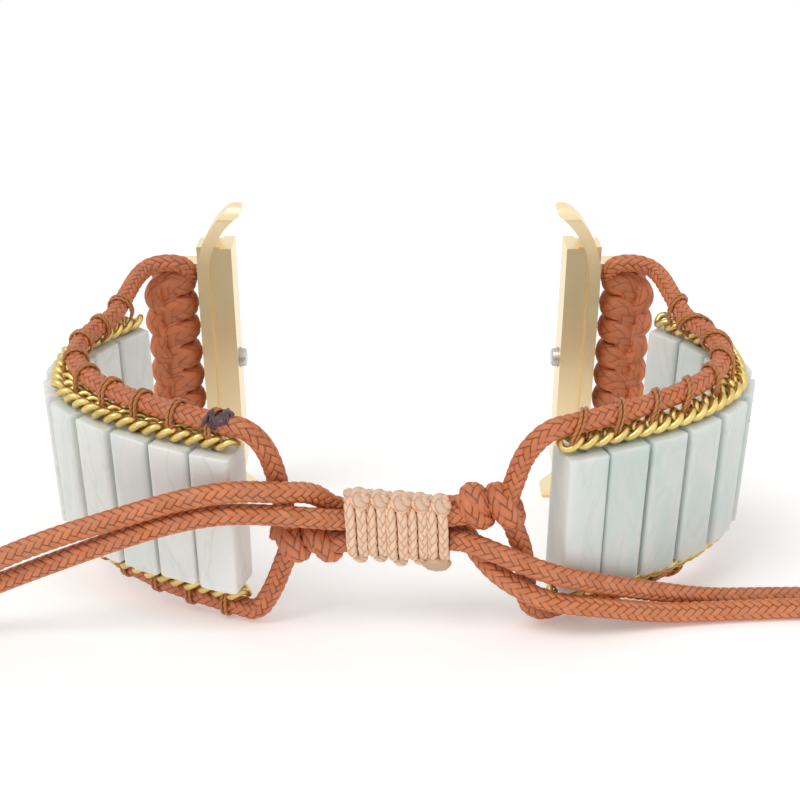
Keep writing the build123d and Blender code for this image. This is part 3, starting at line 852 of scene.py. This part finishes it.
class BAND_OT_chains(bpy.types.Operator):
    """Set the curb chains along the top and bottom ends of the beads"""

    bl_idname = "band.chains"
    bl_label = "Chains"

    def execute(self, context):
        sizes = context.scene.band_sizes
        tree = chain_tree()
        begin = 0
        for part, stop in LAST_OF.items():
            for side in SIDES:
                points, edges = [], []
                for level in LEVELS.values():
                    spots = [(x, y, level * CHAIN_LEVEL) for x, y in STATIONS[begin:stop + 1]]
                    line = even(smooth_line(place(own_side(side, spots))), CHAIN_POINTS)
                    first = len(points)
                    edges += [(first + k, first + k + 1) for k in range(CHAIN_POINTS - 1)]
                    points += line.tolist()
                name = f"{side}_{part}_chain"
                chain = add_object(name, add_mesh(name, points, edges))
                use_tree(chain, tree, {
                    "Links": LINKS[part], "Link Length": sizes.link_length,
                    "Link Width": sizes.link_width, "Wire": sizes.link_wire, "Roll": sizes.link_roll,
                    "Flat Side": tuple(upright), "Material": finish("brass_chain"),
                })
                harden(chain)
                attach(chain, f"{side}_{part}")
                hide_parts(f"{side}_{part}_chains")
            begin = stop
        return {"FINISHED"}


# Cords and thread
class BAND_OT_cords(bpy.types.Operator):
    """Braid the cords from the stopper knots along both edges of each ladder to the hitches"""

    bl_idname = "band.cords"
    bl_label = "Edge and lead cords"

    def execute(self, context):
        sizes = context.scene.band_sizes
        for side, sign in SIDES.items():
            front, back = Pile(), Pile()
            cut, forward = gap_of(side, CORD_SPLIT)
            for seed, level in enumerate(LEVELS):
                line = cord_route(side, level)
                woven = braided(line, CORD / 2, sizes.braid_row, sizes.braid_relief, seed=seed + sign)
                beyond = np.where((woven[0].mean(1) - cut) @ forward > 0)[0][0]
                add_braid(front, woven, 0, beyond + 1)
                add_braid(back, woven, beyond)
            front = front.piece(f"{side}_front_cord", finish("waxed_cord"))
            bend_with(front, side, "front")
            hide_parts(f"{side}_front_edge_cords", f"{side}_top_lead", f"{side}_bottom_lead")
            back = back.piece(f"{side}_back_cord", finish("waxed_cord"))
            bend_with(back, side, "back")
            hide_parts(f"{side}_turn_edge_cords", f"{side}_back_edge_cords")
        return {"FINISHED"}


# Lacing: the points of a turn, outward and upward in shares of its radius
THREAD_TURN = ((1.05, -1.05), (1.06, -0.2), (0.92, 0.52), (0.40, 0.98), (-0.25, 1.06),
               (-0.85, 0.66), (-1.08, -0.1), (-0.85, -0.95))

# How far a turn leans along the cord on each side, and the shares by which leans and steps differ
THREAD_LEAN = {"right": 0.00145, "left": 0.00015}
THREAD_LEANS = (0.7, 1.3)
THREAD_STEPS = (0.52, 0.68)

# How deep in the bead a turn starts, its share of the lean there, how far it stands off the cord in
# shares of the thread, the pitch of its twist and the seed of its draws
THREAD_START = 0.0003
THREAD_FOOT = 0.6
THREAD_HUG = 0.42
THREAD_TWIST = 0.0011
THREAD_SEED = 7

# Distance between the cord's line and a bead's middle below which they count as in line
IN_LINE = 1e-4


class BAND_OT_threads(bpy.types.Operator):
    """Lace the thread out of each bead, through the chain and over the edge cord"""

    bl_idname = "band.threads"
    bl_label = "Lacing thread"

    def execute(self, context):
        rng = np.random.default_rng(THREAD_SEED)
        lines = {(side, level): cord_route(side, level) for side in SIDES for level in LEVELS}
        begin = 0
        for part, stop in LAST_OF.items():
            for side in SIDES:
                pile = Pile()
                for number in range(begin, stop):
                    for level, up in LEVELS.items():
                        self.lace(pile, lines[side, level], side, number, up, rng)
                thread = pile.piece(f"{side}_{part}_lacing", finish("lacing_thread"))
                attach(thread, f"{side}_{part}")
                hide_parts(f"{side}_{part}_threads")
            begin = stop
        return {"FINISHED"}

    def lace(self, pile, line, side, number, up, rng):
        """Two turns of thread over the cord at one end of one bead."""
        thickness = bpy.context.scene.band_sizes.thread
        sign = SIDES[side]
        x, y = CENTRES[number]
        hole = place([(sign * x, y, up * (BEAD_LENGTH / 2 - THREAD_START))])[0]
        beside = place([(sign * x, y, up * CORD_LEVEL)])[0]
        nearest = np.argmin(np.linalg.norm(line - beside, axis=1))
        nearest = min(max(nearest, 1), len(line) - 2)
        spot = line[nearest]
        along = unit(line[nearest + 1] - line[nearest - 1])
        rise = unit(BAND[2] * up - (BAND[2] * up @ along) * along)
        outer = np.cross(along, rise) * sign * up
        towards = beside - spot
        if np.linalg.norm(towards) < IN_LINE:
            towards = -BAND[1]
        if outer @ towards < 0:
            outer = -outer
        radius = CORD / 2 + thickness * THREAD_HUG
        slant = THREAD_LEAN[side] * rng.uniform(*THREAD_LEANS) * up
        for turn in (-1, 1):
            step = turn * thickness * rng.uniform(*THREAD_STEPS)
            points = [hole - along * slant * sign * THREAD_FOOT]
            for k, (out, high) in enumerate(THREAD_TURN):
                lean = slant * (k / (len(THREAD_TURN) - 1) * 2 - 1) * sign
                points.append(spot + outer * out * radius + rise * high * radius + along * (step + lean))
            points.append(hole)
            add_twist(pile, smooth_line(points), thickness / 2, THREAD_TWIST, seed=number + turn)


# Hitches: points in a turn, where in it the cord drops to the next turn, and a slight sway
HITCH_POINTS = 90
DROP_START, DROP_SHARE = 0.74, 0.22
SWAY, SWAY_STEP, SWAY_START = 0.00010, 2.3, 0.7

# The ridge: its heading in degrees and how that swings, how a crossing leans and how far it rises
# in pitches, its points as shares of that rise and distances from the bar, and its narrow ends
RIDGE_HEADING, RIDGE_SWING, RIDGE_STEP = -47, 4, 2.1
RIDGE_LEAN = 0.10
RIDGE_HALF = 0.52
RIDGE_POINTS = ((1.0, 0.0012), (0.85, 0.0022), (0.25, 0.0029),
                (-0.25, 0.0029), (-0.85, 0.0022), (-1.0, 0.0012))
RIDGE_TIPS = (0.0005, 0.0005)

# The braids of both, in shares of the band's cord, and how far the painted shade in their creases is
# lightened
HITCH_FORM = {"row": 1.6, "relief": 0.55, "flat": (0.95, 1.54), "soft": 0.22, "seed": 3}
RIDGE_FORM = {"row": 1.3, "relief": 0.4, "soft": 0.2, "ends": RIDGE_TIPS}


def hitch_line(side):
    """Line of the cord that is hitched round the bar, and the direction away from the bar."""
    turns = np.linspace(0, HITCH_TURNS, int(HITCH_TURNS * HITCH_POINTS))
    whole, share = np.floor(turns), turns % 1
    drop = np.clip((share - DROP_START) / DROP_SHARE, 0, 1)
    drop = drop * drop * (3 - 2 * drop)
    angle = FULL_TURN * turns
    sway = SWAY * np.sin(whole * SWAY_STEP + SWAY_START) * np.cos(angle)
    level = np.maximum(HITCH_TOP - HITCH_PITCH * (whole + drop) + sway, -HITCH_TOP)
    flat = np.stack([np.cos(angle), np.sin(angle), 0 * angle], 1)
    points = flat * HITCH_R + np.stack([0 * angle + BAR_X, 0 * angle, level], 1)
    return place(own_side(side, points)), own_side(side, flat) @ BAND


def ridge_lines(side):
    """Lines of the short crossings that run down the outer side of a hitch, from wrap to wrap."""
    for number in range(int(HITCH_TURNS)):
        level = HITCH_TOP - HITCH_PITCH * (number + 0.5)
        angle = math.radians(RIDGE_HEADING + RIDGE_SWING * math.sin(number * RIDGE_STEP))
        points = []
        for rise, reach in RIDGE_POINTS:
            turn = angle + RIDGE_LEAN * rise
            points.append((BAR_X + reach * math.cos(turn), reach * math.sin(turn),
                           level + rise * HITCH_PITCH * RIDGE_HALF))
        yield smooth_line(place(own_side(side, points)))


class BAND_OT_hitches(bpy.types.Operator):
    """Hitch the cord round each bar, with a ridge of crossings down its outer side"""

    bl_idname = "band.hitches"
    bl_label = "Hitches"

    def execute(self, context):
        for side in SIDES:
            line, away = hitch_line(side)
            pile = Pile()
            add_cord(pile, line, up=away, **HITCH_FORM)
            for number, ridge in enumerate(ridge_lines(side)):
                add_cord(pile, ridge, seed=number, **RIDGE_FORM)
            hitch = pile.piece(f"{side}_hitch_cord", finish("waxed_cord"))
            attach(hitch, f"{side}_back")
            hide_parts(f"{side}_hitch")
        return {"FINISHED"}


# Stopper knots: how far a lobe's turn runs past its own start, its points, where the two turns
# start and how deep their ends are tucked in
LOBE_OVERRUN = 0.12
LOBE_POINTS = 120
LOBE_STARTS = (0.4, 0.15)
LOBE_TUCK = 0.75

# How a lobe leans and spreads across, its depth, thickness and flatness as shares, and the seed of
# the first
LOBE_LEAN = 0.0006
LOBE_SPREAD = 0.0005
LOBE_DEEP = 1.06
LOBE_THICK = 1.03
LOBE_FLAT = (1.18, 1)
LOBE_SEED = 5

# The strands that run on: their side step at the lobe, and where they are level and where they end
STRAND_FROM = 0.7
STRAND_RUN = 0.0012
STRAND_END = 0.0036
STRAND_SEED = 11


class BAND_OT_stoppers(bpy.types.Operator):
    """Tie the two stopper knots, and run their strands on through the sliding knot"""

    bl_idname = "band.stoppers"
    bl_label = "Stopper knots"

    def execute(self, context):
        for side, sign in SIDES.items():
            lobes, level, size = LOBES[side]
            pile = Pile()
            for number, x in enumerate(lobes):
                radius = size / 2 - CORD / 2
                turns = np.linspace(-LOBE_OVERRUN, 1 + LOBE_OVERRUN, LOBE_POINTS)
                angle = FULL_TURN * (turns + LOBE_STARTS[number])
                past = np.clip(np.abs(turns - 0.5) - 0.5, 0, 1)
                tuck = 1 - LOBE_TUCK * past / LOBE_OVERRUN
                points = np.stack([
                    x - LOBE_LEAN * np.sin(angle) + sign * LOBE_SPREAD * (turns - 0.5),
                    KNOT_Y + radius * tuck * LOBE_DEEP * np.cos(angle),
                    level + radius * tuck * np.sin(angle),
                ], 1)
                add_cord(pile, place(points), LOBE_THICK, flat=LOBE_FLAT, up=np.array([BAND[0]] * 2),
                         seed=number + LOBE_SEED)
            knot = pile.piece(f"{side}_stopper", finish("waxed_cord"))
            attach(knot, f"{side}_front")
            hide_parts(f"{side}_stopper_knot")
            strands = Pile()
            first, through, far = lobes[0], sign * STRAND_LEVEL, -sign * STRAND_END
            for number, step in enumerate((-STRAND_SIDE, STRAND_SIDE)):
                points = ((first, KNOT_Y + step * STRAND_FROM, level),
                          (first - sign * STRAND_RUN, KNOT_Y + step, through),
                          (far, KNOT_Y + step, through))
                add_cord(strands, smooth_line(place(points)), seed=number + STRAND_SEED)
            run = strands.piece(f"{side}_strands", finish("waxed_cord"))
            start, end = place([(first, KNOT_Y, 0), (far, KNOT_Y, 0)])
            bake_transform(run)
            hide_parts(f"{side}_running_strands")
        return {"FINISHED"}


# Sliding knot: its double wraps, their spacing, the rise of their row, and how they differ
WRAPS = 5
WRAP_STEP = 0.00168
WRAP_RISE = 0.0003
WRAP_LEAN = math.radians(3)
WRAP_SIZES = (0.96, 1.04)
WRAP_SEED = 4

# A double wrap: its turns and points, where it starts, its pitch in shares of the cord, half depth
# and height, how square its front is, and its braid
WRAP_TURNS = 2
WRAP_POINTS = 260
WRAP_START = 0.9
WRAP_PITCH = 0.98
WRAP_DEEP = 0.00205
WRAP_HIGH = 0.00240
WRAP_SQUARENESS = 3.4
WRAP_BRAID = (0.00085, 0.00011, 4, 8)

# The small knots over and under a double wrap: level, half width, half depth, middle in depth and
# share of the cord's thickness
SMALL_KNOTS = (
    (0.00276, 0.00034, 0.00062, -0.00085, 1.20),
    (-0.00258, 0.00040, 0.0009, -0.0010, 0.72),
)

# The points of a small knot, how it stands off centre, tilts and dips, and its braid
SMALL_POINTS = 120
SMALL_SHIFT = 0.0001
SMALL_TILT = 0.00014
SMALL_DIP = 0.00010
SMALL_BRAID = (0.00075, 0.00008, 4, 8)

# The sliding knot's melted end: its middle, its half sizes and the seed of its waves
KNOT_END = (0.0032, KNOT_Y - 0.0019, -0.0026)
KNOT_END_SIZE = (0.00118, 0.0008, 0.00068)
KNOT_END_SEED = 3.1


def wrap_tree():
    """A row of double wraps along a line, each turned and sized a little differently."""
    tree, given, out = tree_with("knot_wraps", (
        ("Wrap", "Object"), ("Wraps", "Int"), ("Lean", "Float"), ("Seed", "Int"), ("Along", "Vector"),
        ("Material", "Material"),
    ))
    line = add_node(tree, "GeometryNodeMeshToCurve", {0: given["Geometry"]})
    spots = add_node(tree, "GeometryNodeResampleCurve", {"Curve": line.outputs[0], "Count": given["Wraps"]})
    wrap = add_node(tree, "GeometryNodeObjectInfo", {"Object": given["Wrap"]})
    lean = add_node(tree, "FunctionNodeRandomValue", {
        2: maths(tree, "MULTIPLY", given["Lean"], -1.0), 3: given["Lean"], "Seed": given["Seed"]})
    turned = add_node(tree, "FunctionNodeAxisAngleToRotation", {
        "Axis": given["Along"], "Angle": lean.outputs[1]})
    smallest, largest = WRAP_SIZES
    size = add_node(tree, "FunctionNodeRandomValue", {2: smallest, 3: largest, "Seed": given["Seed"]})
    row = add_node(tree, "GeometryNodeInstanceOnPoints", {
        "Points": spots.outputs[0], "Instance": wrap.outputs["Geometry"],
        "Rotation": turned.outputs[0], "Scale": size.outputs[1]})
    end_of_tree(tree, row.outputs[0], given, out)
    return tree


class BAND_OT_sliding_knot(bpy.types.Operator):
    """Tie the sliding knot: five double wraps with a knot above and below each"""

    bl_idname = "band.sliding_knot"
    bl_label = "Sliding knot"

    def execute(self, context):
        pair = self.double_wrap(context.scene.band_sizes.knot_cord)
        reach = (WRAPS - 1) / 2 * WRAP_STEP
        ends = place([(-reach, KNOT_Y, WRAP_RISE), (reach, KNOT_Y, -WRAP_RISE)])
        name = "sliding_knot_wraps"
        knot = add_object(name, add_mesh(name, ends.tolist(), [(0, 1)]))
        use_tree(knot, wrap_tree(), {
            "Wrap": pair, "Wraps": WRAPS, "Lean": WRAP_LEAN, "Seed": WRAP_SEED,
            "Along": (1.0, 0.0, 0.0), "Material": finish("pale_braid"),
        })
        harden(knot)
        bpy.data.objects.remove(pair)
        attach(knot, "knot")
        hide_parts("sliding_knot")
        blob = Pile()
        lump(blob, KNOT_END, KNOT_END_SIZE, KNOT_END_SEED)
        end = blob.piece("sliding_knot_end", finish("melted_cord"))
        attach(end, "knot")
        return {"FINISHED"}

    def double_wrap(self, thick):
        """Two turns of cord side by side, a knot over their top and a small one under them,
        about the knot's own middle and in the frame's directions."""
        pile = Pile()
        turns = np.linspace(0, WRAP_TURNS, WRAP_POINTS)
        angle = FULL_TURN * turns + WRAP_START
        cosine, sine = np.cos(angle), np.sin(angle)
        power = np.where(cosine < 0, 2 / WRAP_SQUARENESS, 1)
        points = np.stack([
            thick * WRAP_PITCH * (turns - WRAP_TURNS / 2),
            WRAP_DEEP * np.sign(cosine) * np.abs(cosine) ** power,
            WRAP_HIGH * np.sign(sine) * np.abs(sine) ** power,
        ], 1)
        add_braid(pile, braided(points @ BAND, thick / 2, *WRAP_BRAID, seed=1))
        turn = np.linspace(0, FULL_TURN, SMALL_POINTS)
        for level, wide, deep, back, bulk in SMALL_KNOTS:
            ring = np.stack([
                wide * np.cos(turn) + SMALL_SHIFT, back + deep * np.sin(turn),
                level - SMALL_TILT * np.cos(turn) + SMALL_DIP * np.sign(level) * np.sin(turn),
            ], 1)
            add_braid(pile, braided(ring @ BAND, thick / 2 * bulk, *SMALL_BRAID, seed=2))
        return pile.piece("double_wrap", finish("pale_braid"))


# Free tails
class BAND_OT_tails(bpy.types.Operator):
    """Braid the four free tails, from the sliding knot outwards"""

    bl_idname = "band.tails"
    bl_label = "Free tails"

    def execute(self, context):
        for seed, (name, (side, level, step, length, route)) in enumerate(TAILS.items()):
            sign = SIDES[side]
            spread = KNOT_Y + step * STRAND_SIDE
            exit_at = (sign * KNOT_REACH, spread, level * STRAND_LEVEL)
            points = [exit_at, (sign * (KNOT_REACH + TAIL_RUN), spread, level * STRAND_LEVEL), *route]
            line = smooth_line(place(points))
            run = run_of(line)[-1]
            pile = Pile()
            add_cord(pile, line, seed=seed, ends=(0, TAIL_TIP))
            tail = pile.piece(name.replace("tail", "free_tail"), finish("tail_cord"))
            start, end = place([exit_at, route[-1]])
            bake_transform(tail)
            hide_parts(name)
            print(name, "length", round(run, 4))
        return {"FINISHED"}


# Melted thread end: near which point of the cord it lies, where its lump stands from there, and
# the lump's half sizes, seed and roughness
MELT_NEAR = (-0.0145, -0.0319, CORD_LEVEL)
MELT_STEP = (0, -0.0003, 0.0004)
MELT_SIZE = (0.0009, 0.0007, 0.0006)
MELT_SEED = 8.3
MELT_ROUGH = 0.5

# The turns of thread beside the lump: how many, their points, the angles where they start and end
# round the cord and the one they lean about, their lean, height over the cord and spread along
# it, thickness, pitch of the twist, and the seed of their draws
MELT_TURNS = 9
MELT_POINTS = 12
MELT_FROM = (-0.6, 0.3)
MELT_TO = (2.6, 3.6)
MELT_MIDDLE = 1.5
MELT_LEAN = 0.0006
MELT_ABOVE = (0.00006, 0.0002)
MELT_SPREAD = 0.0008
MELT_THICK = 0.00016
MELT_TWIST = 0.0009
MELT_DRAWS = 5


class BAND_OT_thread_end(bpy.types.Operator):
    """Melt the end of the lacing thread onto the left-hand edge cord"""

    bl_idname = "band.thread_end"
    bl_label = "Melted thread end"

    def execute(self, context):
        line = cord_route("left", "top")
        spot = line[np.argmin(np.linalg.norm(line - place([MELT_NEAR])[0], axis=1))]
        local = (spot - BAND_MIDDLE) @ BAND.T
        rng = np.random.default_rng(MELT_DRAWS)
        pile = Pile()
        lump(pile, local + MELT_STEP, MELT_SIZE, MELT_SEED, MELT_ROUGH)
        for number in range(MELT_TURNS):
            angle = np.linspace(rng.uniform(*MELT_FROM), rng.uniform(*MELT_TO), MELT_POINTS)
            lean = rng.uniform(-MELT_LEAN, MELT_LEAN)
            radius = CORD / 2 + rng.uniform(*MELT_ABOVE)
            points = np.stack([
                local[0] + rng.uniform(-MELT_SPREAD, MELT_SPREAD) + lean * (angle - MELT_MIDDLE),
                local[1] - radius * np.cos(angle), local[2] + radius * np.sin(angle),
            ], 1)
            add_twist(pile, place(points), MELT_THICK, MELT_TWIST, seed=number)
        end = pile.piece("melted_thread_end", finish("melted_thread"))
        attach(end, "left_front")
        return {"FINISHED"}


# Metal parts, which keep the frame's shapes, and the finish of each
METAL = {
    "adapter": "gold_plating", "lug_bar": "plain_steel", "latch_nub": "plain_steel",
    "latch_spring": "plain_steel",
}


class BAND_OT_metal(bpy.types.Operator):
    """Finish the adapters, bars, latch nubs and springs"""

    bl_idname = "band.metal"
    bl_label = "Metal parts"

    def execute(self, context):
        for side in SIDES:
            for part, name in METAL.items():
                node = frame["nodes"][f"{side}_{part}"]
                node.data.materials.clear()
                node.data.materials.append(finish(name))
            spring = frame["nodes"][f"{side}_latch_spring"]
            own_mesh(spring)
        return {"FINISHED"}


# Stage: the camera as the photograph was taken, the suns with their turn in degrees, strength and
# spread in degrees, and the floor
CAMERA_SPOT = (0, -0.11553, 0.04684)
CAMERA_TILT = 75.155
CAMERA_LENS = 56.25
CAMERA_SENSOR = 36
CAMERA_SHIFT = 0.00125
CAMERA_NEAR = 0.001
SUNS = {"key": ((38, -10, -28), 0.95, 30), "fill": ((60, 8, 50), 0.25, 60)}
FLOOR = [(-3, -3, 0), (3, -3, 0), (3, 3, 0), (-3, 3, 0)]
FLOOR_ROUGHNESS = 0.9
FLOOR_GLOW = 0.20
WHITE = (1, 1, 1, 1)


class BAND_OT_stage(bpy.types.Operator):
    """Set the floor, the lights and the camera"""

    bl_idname = "band.stage"
    bl_label = "Floor, lights and camera"

    def execute(self, context):
        scene = context.scene
        scene.view_settings.view_transform = "Standard"
        camera = add_object("camera", bpy.data.cameras.new("camera"))
        camera.location = CAMERA_SPOT
        camera.rotation_euler = (math.radians(CAMERA_TILT), 0, 0)
        camera.data.lens = CAMERA_LENS
        camera.data.sensor_width = CAMERA_SENSOR
        camera.data.shift_x = CAMERA_SHIFT
        camera.data.clip_start = CAMERA_NEAR
        scene.camera = camera
        self.world(scene)
        for name, (turn, strength, spread) in SUNS.items():
            sun = add_object(name, bpy.data.lights.new(name, "SUN"))
            sun.rotation_euler = [math.radians(angle) for angle in turn]
            sun.data.energy = strength
            sun.data.angle = math.radians(spread)
        floor = add_object("floor", add_mesh("floor", FLOOR, faces=[(0, 1, 2, 3)]))
        material, _, shader = new_finish("pale_floor", FLOOR_ROUGHNESS)
        shader.inputs["Base Color"].default_value = WHITE
        shader.inputs["Specular IOR Level"].default_value = 0.0
        shader.inputs["Emission Color"].default_value = WHITE
        shader.inputs["Emission Strength"].default_value = FLOOR_GLOW
        floor.data.materials.append(material)
        return {"FINISHED"}

    def world(self, scene):
        """White to the camera and in reflections, a little dimmer as light."""
        world = bpy.data.worlds.new("studio")
        scene.world = world
        world.use_nodes = True
        tree = world.node_tree
        seen = add_node(tree, "ShaderNodeLightPath").outputs
        flag = maths(tree, "MAXIMUM", seen["Is Camera Ray"],
                     maths(tree, "MAXIMUM", seen["Is Glossy Ray"], seen["Is Transmission Ray"]))
        strength = maths(tree, "MULTIPLY_ADD", flag, 1 - scene.band_finishes.ambient)
        strength.node.inputs[2].default_value = scene.band_finishes.ambient
        background = tree.nodes["Background"]
        background.inputs["Color"].default_value = WHITE
        tree.links.new(strength, background.inputs["Strength"])


# Sizes, finishes and panel
def length_value(label, text, default):
    return FloatProperty(name=label, description=text, default=default, unit="LENGTH", precision=5)


def colour_value(label, text, default):
    return FloatVectorProperty(name=label, description=text, default=default, subtype="COLOR",
                               size=3, min=0, max=1)


class BandSizes(bpy.types.PropertyGroup):
    bead_edge: length_value("Bead edge", "Rounding of the bead's edges", 0.00020)
    link_length: length_value("Link length", "Length of a chain link along its wire's middle", 0.00196)
    link_width: length_value("Link width", "Width of a chain link along its wire's middle", 0.00175)
    link_wire: length_value("Link wire", "Thickness of the chain's wire", 0.00064)
    link_roll: FloatProperty(name="Link roll", description="How far a link is rolled from end to end",
                             default=math.radians(-100), subtype="ANGLE")
    braid_row: length_value("Braid row", "Distance along the cord from row to row of the braid", 0.00084)
    braid_relief: length_value("Braid relief", "How deep the braid's creases are", 0.00013)
    thread: length_value("Thread", "Thickness of the lacing thread", 0.00032)
    knot_cord: length_value("Knot cord", "Thickness of the sliding knot's cord", 0.00090)


class BandFinishes(bpy.types.PropertyGroup):
    stone: colour_value("Stone", "Colour of the beads", (0.665, 0.70, 0.665))
    cord: colour_value("Cord", "Colour of the cord on top of its strands", (0.61, 0.165, 0.046))
    # Painted shade between the cord's strands
    cord_painted_shade: colour_value("Cord creases", "Colour between the cord's strands", (0.08, 0.020, 0.009))
    tail: colour_value("Tails", "Colour of the free tails on top of their strands", (0.64, 0.185, 0.050))
    knot: colour_value("Knot cord", "Colour of the sliding knot", (0.88, 0.60, 0.415))
    # Painted shade between the sliding knot's strands
    knot_painted_shade: colour_value("Knot creases", "Colour between the sliding knot's strands", (0.56, 0.31, 0.18))
    thread: colour_value("Thread", "Colour of the lacing thread", (0.52, 0.185, 0.04))
    chain: colour_value("Chain", "Colour of the chain", (0.80, 0.61, 0.23))
    plating: colour_value("Plating", "Colour of the adapters", (0.93, 0.76, 0.47))
    ambient: FloatProperty(name="Room light", description="Strength of the light from all round",
                           default=0.60, min=0, max=1)


STEPS = (BAND_OT_stage, BAND_OT_tails, BAND_OT_cords, BAND_OT_beads, BAND_OT_chains, BAND_OT_threads,
         BAND_OT_hitches, BAND_OT_stoppers, BAND_OT_sliding_knot, BAND_OT_thread_end, BAND_OT_metal)


class BAND_PT_panel(bpy.types.Panel):
    """Sizes, finishes and pieces of the band"""

    bl_label = "Bead Watch Band"
    bl_idname = "BAND_PT_panel"
    bl_space_type = "VIEW_3D"
    bl_region_type = "UI"
    bl_category = "Band"

    def draw(self, context):
        for group in (context.scene.band_sizes, context.scene.band_finishes):
            for key in group.__annotations__:
                self.layout.prop(group, key)
        for step in STEPS:
            self.layout.operator(step.bl_idname)


CLASSES = (BandSizes, BandFinishes, *STEPS, BAND_PT_panel)


def register():
    for item in CLASSES:
        bpy.utils.register_class(item)
    bpy.types.Scene.band_sizes = PointerProperty(type=BandSizes)
    bpy.types.Scene.band_finishes = PointerProperty(type=BandFinishes)


def unregister():
    del bpy.types.Scene.band_finishes
    del bpy.types.Scene.band_sizes
    for item in reversed(CLASSES):
        bpy.utils.unregister_class(item)


def main():
    register()
    for step in STEPS:
        group, name = step.bl_idname.split(".")
        getattr(getattr(bpy.ops, group), name)()


if __name__ == "__main__":
    main()
